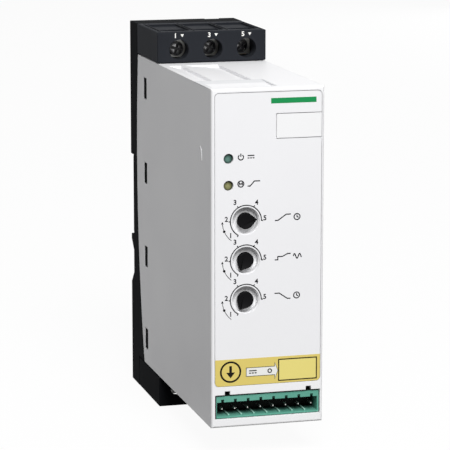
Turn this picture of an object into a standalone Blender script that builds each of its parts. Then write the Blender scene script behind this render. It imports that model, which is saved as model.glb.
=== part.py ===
"""Compact soft starter for a 45 mm wide slot on a 35 mm mounting rail.

Frame: metres, +Z up. The origin is the centre of the rail seat at the back,
+Y points to the rear, -Y to the front panel and +X to the right of the panel.
"""

import math

import bmesh
import bpy
from mathutils import Matrix, Vector

# Overall size
UNIT_WIDTH = 0.045
UNIT_HEIGHT = 0.154
UNIT_DEPTH = 0.131
FIT_GAP = 0.0003

# Rail seat in the back
RAIL_WIDTH = 0.035
RAIL_SHEET = 0.001
RAIL_SEAT_TO_TOP = 0.0726
RAIL_RECESS_DEPTH = 0.0045
RAIL_LIP_REACH = 0.001
RAIL_FREE_PLAY = 0.0003

# Base tray
BASE_DEPTH = 0.013
BASE_FLOOR = 0.0023
BASE_WALL = 0.0032
BASE_END_WALL = 0.003
BASE_LIP_HEIGHT = 0.0067
BASE_TAIL_TOP = 0.0339
BASE_TAIL_SLOPE = 0.0047
CHIP_WIDTH = 0.0067
CHIP_INSET = 0.0098
CHIP_DEPTH = 0.001

# White cover
TERMINAL_HEIGHT = 0.0127
COVER_WALL = 0.002
COVER_DRAFT = 0.0007
COVER_EDGE_DEPTH = 0.0117
COVER_EDGE_SWEEP = 0.0111
COVER_EDGE_PEAK_DROP = 0.0433
COVER_EDGE_POINTS = 15
COVER_CORNER = 0.0008
WINDOW_COUNT = 4
WINDOW_TOP_DROP = 0.01265
WINDOW_BOTTOM_RISE = 0.01065
WINDOW_HEIGHT = 0.009
WINDOW_WIDTH = 0.0054
WINDOW_DEPTH = 0.024
HOOK_PLAY = 0.0004
HOOK_THICKNESS = 0.0016
HOOK_LAND = 0.003
HOOK_SINK = 0.0002
HOOK_ROOT = 0.004

# Raised steps and the sunk band on the top and bottom of the cover
STEP_HEIGHT = 0.0012
STEP_START_DEPTH = 0.057
STEP_LENGTH = 0.049
STEP_LEFT_MARGIN = 0.0078
STEP_RIGHT_MARGIN = 0.022
STEP_COUNT = 2
BAND_DEPTH = 0.0012
BAND_LENGTH = 0.02
BAND_SETBACK = 0.005
BAND_LEFT_MARGIN = 0.0017
BAND_RIGHT_MARGIN = 0.0175

# Printed overlay and tag in the front panel
OVERLAY_THICKNESS = 0.0003
OVERLAY_LEFT_MARGIN = 0.0014
OVERLAY_RIGHT_MARGIN = 0.0011
OVERLAY_TOP_DROP = 0.0017
OVERLAY_BOTTOM_RISE = 0.0161
OVERLAY_CORNER = 0.0015
OVERLAY_PLAY = 0.0002
TAG_LENGTH = 0.0174
TAG_HEIGHT = 0.009
TAG_DROP = 0.00995
TAG_GAP = 0.0003

# Adjustment knobs
DIAL_COUNT = 3
DIAL_INSET = 0.0133
DIAL_TOP_DROP = 0.0497
DIAL_PITCH = 0.015
DISH_RADIUS = 0.005
DISH_DEPTH = 0.0029
DISH_FLOOR = 0.001
DISH_WALL = 0.0012
KNOB_RADIUS = 0.0031
KNOB_REACH = 0.0043
KNOB_TIP_RADIUS = 0.0004
KNOB_THICKNESS = 0.0016
KNOB_STEM_RADIUS = 0.0022
POT_SIZE = 0.0095
POT_THICKNESS = 0.0048
MARK_LOW_DEG = 240.0
MARK_HIGH_DEG = 5.0

# Indicator light guides
LIGHT_INSET = 0.0066
POWER_LIGHT_DROP = 0.026
RUN_LIGHT_DROP = 0.0361
LIGHT_RADIUS = 0.0016
LIGHT_COLLAR_RADIUS = 0.0025
LIGHT_COLLAR_LENGTH = 0.0012

# Control plug header
PIN_PITCH = 0.005
PIN_WIDTH = 0.0008
PIN_SETBACK = 0.0008
PIN_END_MARGIN = 0.0024
HEADER_LEFT_MARGIN = 0.0017
HEADER_RIGHT_MARGIN = 0.0013
HEADER_HEIGHT = 0.0088
HEADER_CENTRE_RISE = 0.008
HEADER_DEPTH = 0.0125
HEADER_SETBACK = 0.0008
HEADER_TOP_WALL = 0.0027
HEADER_WALL = 0.0006
HEADER_BACK_WALL = 0.002
HEADER_RIB = 0.0006
HEADER_NOTCH = 0.0011
LATCH_LEFT_INSET = 0.0045
LATCH_RIGHT_INSET = 0.0043
LATCH_WIDTH = 0.0021
LATCH_HEIGHT = 0.0014

# Power terminals
POLE_COUNT = 3
POLE_SIDE_MARGIN = 0.0015
POLE_CENTRE_X = 0.0004
TERMINAL_FRONT_DEPTH = 0.0494
SCREW_DROP = 0.0072
DRIVER_HOLE_RADIUS = 0.004
HEAD_RADIUS = 0.0031
HEAD_HEIGHT = 0.0026
HEAD_RIM = 0.00065
SHANK_RADIUS = 0.00175
SHANK_LENGTH = 0.009
CROSS_SLOT_WIDTH = 0.0011
CROSS_SLOT_DEPTH = 0.0013
HEAD_REST_DEPTHS = (0.0045, 0.0064, 0.0086)
HEAD_OPEN_DEPTH = 0.0042
CLAMP_TRAVEL = 0.005
CLAMP_SIDE_GAP = 0.001
CLAMP_HEIGHT = 0.0074
CLAMP_SHEET = 0.0012
CLAMP_LEG = 0.0009
CONTACT_SHEET = 0.0012
CONTACT_INSET = 0.0005
CONTACT_DROP = 0.02
CHAMBER_WALL = 0.003
CHAMBER_START_DEPTH = 0.006
CHAMBER_FLOOR = 0.0115
DISHED_ENTRY_DEPTH = 0.0008
DISHED_ENTRY_RIB = 0.0018
DISHED_ENTRY_NOSE = 0.0037
DISHED_ENTRY_FRONT = 0.0028
DISHED_ENTRY_LENGTH = 0.0275
POLE_SLOT_WIDTH = 0.0009
POLE_SLOT_DEPTH = 0.0045
POLE_SLOT_LENGTH = 0.029
TONGUE_HOOK_GAP = 0.00035
TONGUE_REAR_GAP = 0.001
BLOCK_EDGE = 0.0004

# Rail clip
CLIP_WIDTH = 0.018
CLIP_FLANGE = 0.0014
CLIP_FLANGE_SHEET = 0.0015
CLIP_SHEET = 0.0034
CLIP_OVERLAP = 0.0011
CLIP_LENGTH = 0.052
CLIP_WINDOW_TOP = 0.018
CLIP_WINDOW_SLACK = 0.001
CLIP_WINDOW_WIDTH = 0.006
SPRING_LENGTH = 0.0125
SPRING_RADIUS = 0.0012
SPRING_WIRE = 0.00025
SPRING_TURNS = 7
SPRING_TURN_STEPS = 10
SPRING_BOSS_HEIGHT = 0.0018
RELEASE_SLOT_WIDTH = 0.006
RELEASE_SLOT_HEIGHT = 0.0014
RELEASE_SLOT_RISE = 0.003

# Circuit boards and what they carry
BOARD_SHEET = 0.0016
CONTROL_BOARD_SETBACK = 0.0143
CONTROL_BOARD_MARGIN = 0.001
POWER_BOARD_END_MARGIN = 0.012
POWER_BOARD_HOOK_GAP = 0.0004
POWER_BOARD_DEPTH = 0.0185
POST_RADIUS = 0.0025
POST_SIDE_INSET = 0.003
POST_END_INSET = 0.004
LINK_BOARD_HEIGHT = 0.04
LINK_BOARD_INSET = 0.0043
HEATSINK_SIDE_GAP = 0.0035
HEATSINK_LINK_GAP = 0.0052
HEATSINK_BAR_GAP = 0.006
HEATSINK_RELAY_GAP = 0.004
HEATSINK_SOLE = 0.004
HEATSINK_DEPTH = 0.042
HEATSINK_FINS = 6
HEATSINK_FIN_SHEET = 0.0014
THYRISTOR_SIZE = 0.014
THYRISTOR_THICKNESS = 0.0055
RELAY_LENGTH = 0.022
RELAY_DEPTH = 0.0165
RELAY_GAP = 0.0012
RELAY_INSET = 0.0009
RELAY_BAR_GAP = 0.008
CAPACITOR_RADIUS = 0.0045
CAPACITOR_LENGTH = 0.012
CAPACITOR_PITCH = 0.02

# Places worked out from the sizes above
REAR_Y = RAIL_RECESS_DEPTH
FRONT_Y = REAR_Y - UNIT_DEPTH
TOP_Z = RAIL_SEAT_TO_TOP
BOTTOM_Z = TOP_Z - UNIT_HEIGHT
MIDDLE_Z = (TOP_Z + BOTTOM_Z) / 2
HALF_WIDTH = UNIT_WIDTH / 2
FRONT_HALF_WIDTH = HALF_WIDTH - COVER_DRAFT
COVER_TOP_Z = TOP_Z - TERMINAL_HEIGHT
COVER_BOTTOM_Z = BOTTOM_Z + TERMINAL_HEIGHT
COVER_INNER_X = HALF_WIDTH - COVER_WALL
COVER_EDGE_PEAK_Z = COVER_TOP_Z - COVER_EDGE_PEAK_DROP
COVER_EDGE_LOW_Y = REAR_Y - COVER_EDGE_DEPTH - COVER_EDGE_SWEEP
BASE_FRONT_Y = REAR_Y - BASE_DEPTH
BLOCK_FRONT_Y = REAR_Y - TERMINAL_FRONT_DEPTH
RAIL_TOP_Z = RAIL_WIDTH / 2
LIP_Z = RAIL_TOP_Z - RAIL_LIP_REACH
CHAMBER_START_Y = BLOCK_FRONT_Y + CHAMBER_START_DEPTH
CLAMP_OPEN_Y = BLOCK_FRONT_Y + HEAD_OPEN_DEPTH + HEAD_HEIGHT + FIT_GAP + CLAMP_SHEET
CONTACT_FRONT_Y = CLAMP_OPEN_Y + CLAMP_TRAVEL + CLAMP_LEG + 2 * FIT_GAP
CHAMBER_END_Y = CONTACT_FRONT_Y + CONTACT_SHEET + FIT_GAP
POWER_BOARD_FRONT_Y = REAR_Y - POWER_BOARD_DEPTH
CONTROL_BOARD_Y = FRONT_Y + CONTROL_BOARD_SETBACK
HOOK_FACE_X = COVER_INNER_X - FIT_GAP
HOOK_BARB_X = HALF_WIDTH - HOOK_SINK
BAND_LEFT_X = BAND_LEFT_MARGIN - FRONT_HALF_WIDTH
BAND_RIGHT_X = FRONT_HALF_WIDTH - BAND_RIGHT_MARGIN
OVERLAY_LEFT_X = OVERLAY_LEFT_MARGIN - FRONT_HALF_WIDTH
OVERLAY_RIGHT_X = FRONT_HALF_WIDTH - OVERLAY_RIGHT_MARGIN
DIAL_X = DIAL_INSET - FRONT_HALF_WIDTH
LIGHT_X = LIGHT_INSET - FRONT_HALF_WIDTH
POWER_LIGHT_Z = COVER_TOP_Z - POWER_LIGHT_DROP
RUN_LIGHT_Z = COVER_TOP_Z - RUN_LIGHT_DROP
HEADER_LEFT_X = HEADER_LEFT_MARGIN - FRONT_HALF_WIDTH
HEADER_RIGHT_X = FRONT_HALF_WIDTH - HEADER_RIGHT_MARGIN
HEADER_Z = COVER_BOTTOM_Z + HEADER_CENTRE_RISE
HEADER_FRONT_Y = FRONT_Y + HEADER_SETBACK
DISH_FLOOR_Y = FRONT_Y + DISH_DEPTH
POLE_PITCH = (UNIT_WIDTH - 2 * POLE_SIDE_MARGIN) / POLE_COUNT
CHAMBER_WIDTH = POLE_PITCH - CHAMBER_WALL
CLAMP_WIDTH = CHAMBER_WIDTH - 2 * CLAMP_SIDE_GAP
CONTACT_WIDTH = CLAMP_WIDTH - 2 * CONTACT_INSET
TONGUE_HEIGHT = min(WINDOW_TOP_DROP, WINDOW_BOTTOM_RISE) - WINDOW_HEIGHT / 2 - TONGUE_HOOK_GAP
TONGUE_REAR_Y = COVER_EDGE_LOW_Y - TONGUE_REAR_GAP
BAR_DROP = SCREW_DROP + CONTACT_DROP + CONTACT_SHEET
POWER_BOARD_HALF = HOOK_FACE_X - HOOK_THICKNESS - POWER_BOARD_HOOK_GAP
POWER_BOARD_LOW_Z = COVER_BOTTOM_Z + POWER_BOARD_END_MARGIN
POWER_BOARD_HIGH_Z = COVER_TOP_Z - POWER_BOARD_END_MARGIN
LINK_BOARD_X = COVER_INNER_X - LINK_BOARD_INSET
HEATSINK_LEFT_X = HEATSINK_SIDE_GAP - COVER_INNER_X
HEATSINK_WIDTH = LINK_BOARD_X - HEATSINK_LINK_GAP - HEATSINK_LEFT_X
HEATSINK_CENTRE_X = HEATSINK_LEFT_X + HEATSINK_WIDTH / 2
RELAY_WIDTH = (HEATSINK_WIDTH - RELAY_GAP) / 2 - RELAY_INSET
RELAY_LOW_Z = BOTTOM_Z + BAR_DROP + RELAY_BAR_GAP
HEATSINK_LOW_Z = RELAY_LOW_Z + RELAY_LENGTH + HEATSINK_RELAY_GAP
HEATSINK_HEIGHT = TOP_Z - BAR_DROP - HEATSINK_BAR_GAP - HEATSINK_LOW_Z
WINDOW_Y = REAR_Y - WINDOW_DEPTH - WINDOW_WIDTH / 2
CLIP_NOSE_Z = -RAIL_TOP_Z + CLIP_OVERLAP
CLIP_REAR_Y = REAR_Y - FIT_GAP
CLIP_WINDOW_LENGTH = SPRING_LENGTH + 2 * FIT_GAP + SPRING_BOSS_HEIGHT + CLIP_WINDOW_SLACK

# How a flat outline is stood up: local X and Y become the two named axes
SIDE_PLANE = Matrix(((0, 0, 1, 0), (1, 0, 0, 0), (0, 1, 0, 0), (0, 0, 0, 1)))
FRONT_PLANE = Matrix(((1, 0, 0, 0), (0, 0, -1, 0), (0, 1, 0, 0), (0, 0, 0, 1)))
TOP_PLANE = Matrix.Identity(4)

FACING_FRONT = (math.pi / 2, 0, 0)

PART_NAME = "soft_starter"
CUTTER_NAME = "soft_starter_cutters"


def clear_scene():
    for item in list(bpy.data.objects):
        bpy.data.objects.remove(item, do_unlink=True)


def make_collection(name):
    collection = bpy.data.collections.new(name)
    bpy.context.scene.collection.children.link(collection)
    return collection


def make_material(name, color, roughness, metallic=0.0):
    material = bpy.data.materials.new(name)
    material.use_nodes = True
    shader = material.node_tree.nodes["Principled BSDF"]
    shader.inputs["Base Color"].default_value = (*color, 1.0)
    shader.inputs["Roughness"].default_value = roughness
    shader.inputs["Metallic"].default_value = metallic
    return material


def make_materials():
    return {
        "black_plastic": make_material("black_plastic", (0.022, 0.025, 0.03), 0.5),
        "white_plastic": make_material("white_plastic", (0.80, 0.80, 0.80), 0.45),
        "overlay_foil": make_material("overlay_foil", (0.82, 0.82, 0.83), 0.4),
        "tag_card": make_material("tag_card", (0.86, 0.86, 0.86), 0.6),
        "knob_plastic": make_material("knob_plastic", (0.008, 0.008, 0.009), 0.4),
        "green_plastic": make_material("green_plastic", (0.09, 0.30, 0.22), 0.5),
        "green_light": make_material("green_light", (0.05, 0.12, 0.10), 0.2),
        "yellow_light": make_material("yellow_light", (0.13, 0.13, 0.06), 0.2),
        "plated_steel": make_material("plated_steel", (0.62, 0.61, 0.58), 0.3, 1.0),
        "copper_bar": make_material("copper_bar", (0.75, 0.62, 0.45), 0.35, 1.0),
        "spring_steel": make_material("spring_steel", (0.45, 0.45, 0.46), 0.35, 1.0),
        "circuit_board": make_material("circuit_board", (0.03, 0.16, 0.07), 0.5),
        "aluminium": make_material("aluminium", (0.7, 0.7, 0.72), 0.4, 1.0),
        "relay_case": make_material("relay_case", (0.05, 0.10, 0.30), 0.4),
        "dark_resin": make_material("dark_resin", (0.03, 0.03, 0.03), 0.5),
    }


class Workshop:
    """Holds the two collections and the materials while the part is made."""

    def __init__(self):
        self.parts = make_collection(PART_NAME)
        self.cutters = make_collection(CUTTER_NAME)
        self.materials = make_materials()

    def add(self, name, mesh, finish=None):
        """Put a mesh in the scene, as a part with a finish or as a cutter."""
        item = bpy.data.objects.new(name, mesh)
        if finish is None:
            self.cutters.objects.link(item)
            item.hide_render = True
            item.display_type = "WIRE"
        else:
            self.parts.objects.link(item)
            mesh.materials.clear()
            mesh.materials.append(self.materials[finish])
        return item

    def block(self, name, low, high, finish=None):
        """A plain box between two corners, with its origin in its middle."""
        low, high = Vector(low), Vector(high)
        size = high - low
        shape = bmesh.new()
        bmesh.ops.create_cube(shape, size=1.0)
        bmesh.ops.scale(shape, vec=size, verts=shape.verts)
        mesh = bpy.data.meshes.new(name)
        shape.to_mesh(mesh)
        shape.free()
        item = self.add(name, mesh, finish)
        item.location = (low + high) / 2
        return item

    def cylinder(self, name, radius, start, length, rotation, finish=None, sides=24, tip=None):
        """A round bar or cone whose origin is the middle of its first end."""
        shape = bmesh.new()
        bmesh.ops.create_cone(shape, cap_ends=True, segments=sides, radius1=radius,
                              radius2=radius if tip is None else tip, depth=length)
        bmesh.ops.translate(shape, vec=(0, 0, length / 2), verts=shape.verts)
        mesh = bpy.data.meshes.new(name)
        shape.to_mesh(mesh)
        shape.free()
        item = self.add(name, mesh, finish)
        item.location = start
        item.rotation_euler = rotation
        smooth(mesh)
        return item

    def turned(self, name, profile, start, rotation, finish=None, sides=24):
        """A lathe shape: radius and height pairs, from the top down the outside."""
        mesh = bpy.data.meshes.new(name)
        rows = [(radius, 0, height) for radius, height in profile]
        edges = [(index, index + 1) for index in range(len(rows) - 1)]
        mesh.from_pydata(rows, edges, [])
        item = self.add(name, mesh, finish)
        item.location = start
        item.rotation_euler = rotation
        screw = item.modifiers.new("turn", "SCREW")
        screw.axis = "Z"
        screw.angle = 2 * math.pi
        screw.steps = sides
        screw.render_steps = sides
        screw.use_merge_vertices = True
        screw.merge_threshold = 0.00001
        return item

    def outline(self, name, points, thickness, plane, finish=None):
        """A flat outline, extruded evenly to both sides of the given plane."""
        curve = bpy.data.curves.new(name + "_outline", "CURVE")
        curve.dimensions = "2D"
        curve.fill_mode = "BOTH"
        curve.extrude = thickness / 2
        spline = curve.splines.new("POLY")
        spline.points.add(len(points) - 1)
        for point, place in zip(spline.points, points):
            point.co = (place[0], place[1], 0, 1)
        spline.use_cyclic_u = True
        drawn = bpy.data.objects.new(name + "_outline", curve)
        self.cutters.objects.link(drawn)
        bpy.context.view_layer.update()
        evaluated = drawn.evaluated_get(bpy.context.evaluated_depsgraph_get())
        mesh = bpy.data.meshes.new_from_object(evaluated)
        bpy.data.objects.remove(drawn, do_unlink=True)
        shape = bmesh.new()
        shape.from_mesh(mesh)
        bmesh.ops.remove_doubles(shape, verts=shape.verts, dist=0.000001)
        bmesh.ops.dissolve_limit(shape, angle_limit=math.radians(0.5), verts=shape.verts,
                                 edges=shape.edges)
        bmesh.ops.recalc_face_normals(shape, faces=shape.faces)
        shape.to_mesh(mesh)
        shape.free()
        mesh.name = name
        item = self.add(name, mesh, finish)
        item.matrix_world = plane
        return item


def smooth(mesh, angle_deg=40.0):
    mesh.shade_smooth()
    mesh.set_sharp_from_angle(angle=math.radians(angle_deg))


def combine(target, tool, operation):
    boolean = target.modifiers.new(tool.name, "BOOLEAN")
    boolean.operation = operation
    boolean.solver = "EXACT"
    boolean.object = tool


def cut(target, tool):
    combine(target, tool, "DIFFERENCE")


def join(target, tool):
    combine(target, tool, "UNION")


def ease_edges(item, width, segments=1, angle_deg=60.0):
    bevel = item.modifiers.new("eased_edges", "BEVEL")
    bevel.width = width
    bevel.segments = segments
    bevel.limit_method = "ANGLE"
    bevel.angle_limit = math.radians(angle_deg)


def arc_points(centre, radius, start_deg, end_deg, steps):
    """Points along an arc, both ends included."""
    points = []
    for step in range(steps + 1):
        angle = math.radians(start_deg + (end_deg - start_deg) * step / steps)
        points.append((centre[0] + radius * math.cos(angle), centre[1] + radius * math.sin(angle)))
    return points


def rounded(corners, radii, steps=4):
    """An outline whose square corners become arcs, each with its own radius."""
    points = []
    count = len(corners)
    for index, (corner, radius) in enumerate(zip(corners, radii)):
        here = Vector(corner)
        before = (Vector(corners[index - 1]) - here).normalized()
        after = (Vector(corners[(index + 1) % count]) - here).normalized()
        centre = here + (before + after) * radius
        first = here + before * radius - centre
        last = here + after * radius - centre
        for step in range(steps + 1):
            share = step / steps
            turn = math.radians(90) * share
            offset = first * math.cos(turn) + last * math.sin(turn)
            points.append(tuple(centre + offset))
    return points


def cover_edge_y(z):
    """The rear edge of the cover is a shallow arc seen from the side."""
    fall = COVER_EDGE_PEAK_Z - COVER_BOTTOM_Z
    radius = (fall ** 2 + COVER_EDGE_SWEEP ** 2) / (2 * COVER_EDGE_SWEEP)
    rise = z - COVER_EDGE_PEAK_Z
    sagitta = radius - math.sqrt(radius ** 2 - rise ** 2)
    return REAR_Y - COVER_EDGE_DEPTH - sagitta


def evenly(start, end, count):
    return [start + (end - start) * index / (count - 1) for index in range(count)]


def pole_places():
    middle = (POLE_COUNT - 1) / 2
    return [POLE_CENTRE_X + POLE_PITCH * (index - middle) for index in range(POLE_COUNT)]


def window_places():
    return evenly(COVER_TOP_Z - WINDOW_TOP_DROP, COVER_BOTTOM_Z + WINDOW_BOTTOM_RISE, WINDOW_COUNT)


def dial_places():
    return [COVER_TOP_Z - DIAL_TOP_DROP - DIAL_PITCH * index for index in range(DIAL_COUNT)]


def pin_places():
    """As many pins as the header has room for, centred in it."""
    gaps = int((HEADER_RIGHT_X - HEADER_LEFT_X - 2 * PIN_END_MARGIN) / PIN_PITCH)
    first_x = (HEADER_LEFT_X + HEADER_RIGHT_X - PIN_PITCH * gaps) / 2
    return [first_x + PIN_PITCH * index for index in range(gaps + 1)]


def base_outline():
    """Side view of the tray: rail recess at the back, the cover's arc at the front."""
    pocket_y = -FIT_GAP
    pocket_top = RAIL_TOP_Z + RAIL_FREE_PLAY
    lip_front_y = RAIL_SHEET + RAIL_FREE_PLAY
    seat_end = LIP_Z - RAIL_FREE_PLAY
    low_lip_z = -RAIL_TOP_Z - RAIL_FREE_PLAY
    outline = [
        (REAR_Y, TOP_Z),
        (REAR_Y, LIP_Z),
        (lip_front_y, LIP_Z),
        (lip_front_y, pocket_top),
        (pocket_y, pocket_top),
        (pocket_y, seat_end),
        (0, seat_end),
        (0, -seat_end),
        (pocket_y, -seat_end),
        (pocket_y, low_lip_z),
        (REAR_Y - FIT_GAP, low_lip_z),
        (REAR_Y - FIT_GAP, low_lip_z - BASE_LIP_HEIGHT / 3),
        (0, low_lip_z - BASE_LIP_HEIGHT),
        (0, -BASE_TAIL_TOP),
        (REAR_Y, -BASE_TAIL_TOP - BASE_TAIL_SLOPE),
        (REAR_Y, BOTTOM_Z),
        (BASE_FRONT_Y, BOTTOM_Z),
        (BASE_FRONT_Y, COVER_BOTTOM_Z),
    ]
    for z in evenly(COVER_BOTTOM_Z, COVER_TOP_Z, COVER_EDGE_POINTS):
        outline.append((cover_edge_y(z) + FIT_GAP, z))
    outline.append((BASE_FRONT_Y, COVER_TOP_Z))
    outline.append((BASE_FRONT_Y, TOP_Z))
    return outline


def hook_outline(side):
    """Plan view of a snap hook inside the cover wall, whose barb fills the window."""
    inner_x = HOOK_FACE_X
    root_y = BASE_FRONT_Y + HOOK_ROOT
    catch_y = WINDOW_Y + WINDOW_WIDTH / 2 - HOOK_PLAY
    tip_y = WINDOW_Y - WINDOW_WIDTH / 2 + HOOK_PLAY
    points = [
        (inner_x - HOOK_THICKNESS, root_y),
        (inner_x, root_y),
        (inner_x, catch_y),
        (HOOK_BARB_X, catch_y),
        (HOOK_BARB_X, catch_y - HOOK_LAND),
        (inner_x, tip_y),
        (inner_x - HOOK_THICKNESS, tip_y),
    ]
    return [(side * x, y) for x, y in points]


def make_base(shop):
    base = shop.outline("base", base_outline(), UNIT_WIDTH, SIDE_PLANE, "black_plastic")
    ease_edges(base, BLOCK_EDGE)
    inner = HALF_WIDTH - BASE_WALL
    cavity = shop.block("base_cavity", (-inner, FRONT_Y, COVER_BOTTOM_Z + BASE_END_WALL),
                        (inner, -BASE_FLOOR, COVER_TOP_Z - BASE_END_WALL))
    cut(base, cavity)
    height = WINDOW_HEIGHT - 2 * HOOK_PLAY
    for side, label in ((-1, "left"), (1, "right")):
        for index, z in enumerate(window_places()):
            hook = shop.outline(f"hook_{label}_{index}", hook_outline(side), height, TOP_PLANE)
            hook.location.z = z
            join(base, hook)
    chip_x = HALF_WIDTH - CHIP_INSET
    chip = shop.block("base_chip", (chip_x - CHIP_WIDTH / 2, REAR_Y - COVER_WALL, TOP_Z - CHIP_DEPTH),
                      (chip_x + CHIP_WIDTH / 2, REAR_Y + COVER_WALL, TOP_Z + CHIP_DEPTH))
    cut(base, chip)
    cut_clip_channel(shop, base)
    add_board_posts(shop, base)
    return base


def cut_clip_channel(shop, base):
    """A T-shaped channel holds the clip; a boss in it takes the spring."""
    top_z = -LIP_Z + RAIL_FREE_PLAY
    bottom_z = BOTTOM_Z - COVER_WALL
    half = CLIP_WIDTH / 2 + FIT_GAP
    neck = half - CLIP_FLANGE
    flange_y = CLIP_REAR_Y - CLIP_SHEET - FIT_GAP
    wide = shop.block("clip_channel_wide", (-half, flange_y, bottom_z),
                      (half, flange_y + CLIP_FLANGE_SHEET + 2 * FIT_GAP, top_z))
    narrow = shop.block("clip_channel_neck", (-neck, flange_y, bottom_z),
                        (neck, REAR_Y + COVER_WALL, top_z))
    cut(base, wide)
    cut(base, narrow)
    anchor_top = spring_foot_z()
    boss_half = CLIP_WINDOW_WIDTH / 2 - 2 * FIT_GAP
    boss = shop.block("spring_boss", (-boss_half, flange_y - FIT_GAP, anchor_top - SPRING_BOSS_HEIGHT),
                      (boss_half, CLIP_REAR_Y - FIT_GAP, anchor_top))
    join(base, boss)


def add_board_posts(shop, base):
    """Four posts on the tray floor carry the power board."""
    reach_x = POWER_BOARD_HALF - POST_SIDE_INSET
    rear_y = POWER_BOARD_FRONT_Y + BOARD_SHEET + FIT_GAP
    for z in (POWER_BOARD_LOW_Z + POST_END_INSET, POWER_BOARD_HIGH_Z - POST_END_INSET):
        for x in (-reach_x, reach_x):
            post = shop.cylinder("board_post", POST_RADIUS, (x, -BASE_FLOOR / 2, z),
                                 -BASE_FLOOR / 2 - rear_y, FACING_FRONT, sides=16)
            join(base, post)


def cover_outline():
    outline = [(FRONT_Y, COVER_TOP_Z), (FRONT_Y, COVER_BOTTOM_Z)]
    for z in evenly(COVER_BOTTOM_Z, COVER_TOP_Z, COVER_EDGE_POINTS):
        outline.append((cover_edge_y(z), z))
    return outline


def taper_to_front(item):
    """Draw both sides in towards the front, so that the moulding leaves its tool."""
    rear_y = REAR_Y - COVER_EDGE_DEPTH
    for vert in item.data.vertices:
        share = (rear_y - vert.co.x) / (rear_y - FRONT_Y)
        vert.co.z -= math.copysign(COVER_DRAFT * share, vert.co.z)


def round_front_edges(item, radius, segments):
    """Round only the edges around the front face, before any cut is made."""
    shape = bmesh.new()
    shape.from_mesh(item.data)
    at_front = [vert for vert in shape.verts if abs(vert.co.x - FRONT_Y) < FIT_GAP / 3]
    edges = [edge for edge in shape.edges if all(vert in at_front for vert in edge.verts)]
    bmesh.ops.bevel(shape, geom=edges, offset=radius, offset_type="OFFSET", segments=segments,
                    profile=0.5, affect="EDGES", clamp_overlap=True)
    shape.to_mesh(item.data)
    shape.free()


def make_cover(shop):
    cover = shop.outline("cover", cover_outline(), UNIT_WIDTH, SIDE_PLANE, "white_plastic")
    taper_to_front(cover)
    round_front_edges(cover, COVER_CORNER, 3)
    cavity = shop.block("cover_cavity",
                        (-COVER_INNER_X, FRONT_Y + COVER_WALL, COVER_BOTTOM_Z + COVER_WALL),
                        (COVER_INNER_X, REAR_Y + COVER_WALL, COVER_TOP_Z - COVER_WALL))
    cut(cover, cavity)
    for index, z in enumerate(window_places()):
        window = shop.block(f"snap_window_{index}",
                            (-UNIT_WIDTH, WINDOW_Y - WINDOW_WIDTH / 2, z - WINDOW_HEIGHT / 2),
                            (UNIT_WIDTH, WINDOW_Y + WINDOW_WIDTH / 2, z + WINDOW_HEIGHT / 2))
        cut(cover, window)
    cut_terminal_notches(shop, cover)
    cut_steps(shop, cover)
    cut_front_panel(shop, cover)
    return cover


def cut_terminal_notches(shop, cover):
    """The terminal blocks' tongues enter through notches open to the rear."""
    front_y = BLOCK_FRONT_Y + COVER_WALL - FIT_GAP
    for name, z in (("line_notch", COVER_TOP_Z), ("load_notch", COVER_BOTTOM_Z)):
        notch = shop.block(name, (-COVER_INNER_X, front_y, z - 2 * COVER_WALL),
                           (COVER_INNER_X, REAR_Y, z + 2 * COVER_WALL))
        cut(cover, notch)


def step_outline(foot_x, pitch, z, side):
    """A sunk wedge that runs down to the foot of one raised step."""
    start_x = max(foot_x - pitch + 2 * FIT_GAP, BAND_LEFT_X)
    return [(start_x, z), (foot_x, z - side * STEP_HEIGHT), (foot_x, z + side * STEP_HEIGHT),
            (start_x, z + side * STEP_HEIGHT)]


def cut_steps(shop, cover):
    steps_middle_y = REAR_Y - STEP_START_DEPTH - STEP_LENGTH / 2
    band_front_y = FRONT_Y + BAND_SETBACK
    feet = evenly(STEP_LEFT_MARGIN - HALF_WIDTH, HALF_WIDTH - STEP_RIGHT_MARGIN, STEP_COUNT)
    pitch = feet[1] - feet[0]
    for side, label, z in ((1, "top", COVER_TOP_Z), (-1, "bottom", COVER_BOTTOM_Z)):
        for index, foot_x in enumerate(feet):
            wedge = shop.outline(f"step_{label}_{index}", step_outline(foot_x, pitch, z, side),
                                 STEP_LENGTH, FRONT_PLANE)
            wedge.location.y = steps_middle_y
            cut(cover, wedge)
        ramp = [(band_front_y + BAND_LENGTH, z), (band_front_y, z - side * BAND_DEPTH),
                (band_front_y, z + side * BAND_DEPTH), (band_front_y + BAND_LENGTH, z + side * BAND_DEPTH)]
        band = shop.outline(f"band_{label}", ramp, BAND_RIGHT_X - BAND_LEFT_X, SIDE_PLANE)
        band.location.x = (BAND_RIGHT_X + BAND_LEFT_X) / 2
        cut(cover, band)


def overlay_box(grow=0.0):
    """Left, right, bottom and top of the overlay, grown on every side."""
    left = OVERLAY_LEFT_X - grow
    right = OVERLAY_RIGHT_X + grow
    bottom = COVER_BOTTOM_Z + OVERLAY_BOTTOM_RISE - grow
    top = COVER_TOP_Z - OVERLAY_TOP_DROP + grow
    return left, right, bottom, top


def tag_box():
    """Left, right, bottom and top of the marker tag."""
    top = COVER_TOP_Z - TAG_DROP
    return OVERLAY_RIGHT_X - TAG_LENGTH, OVERLAY_RIGHT_X, top - TAG_HEIGHT, top


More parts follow.
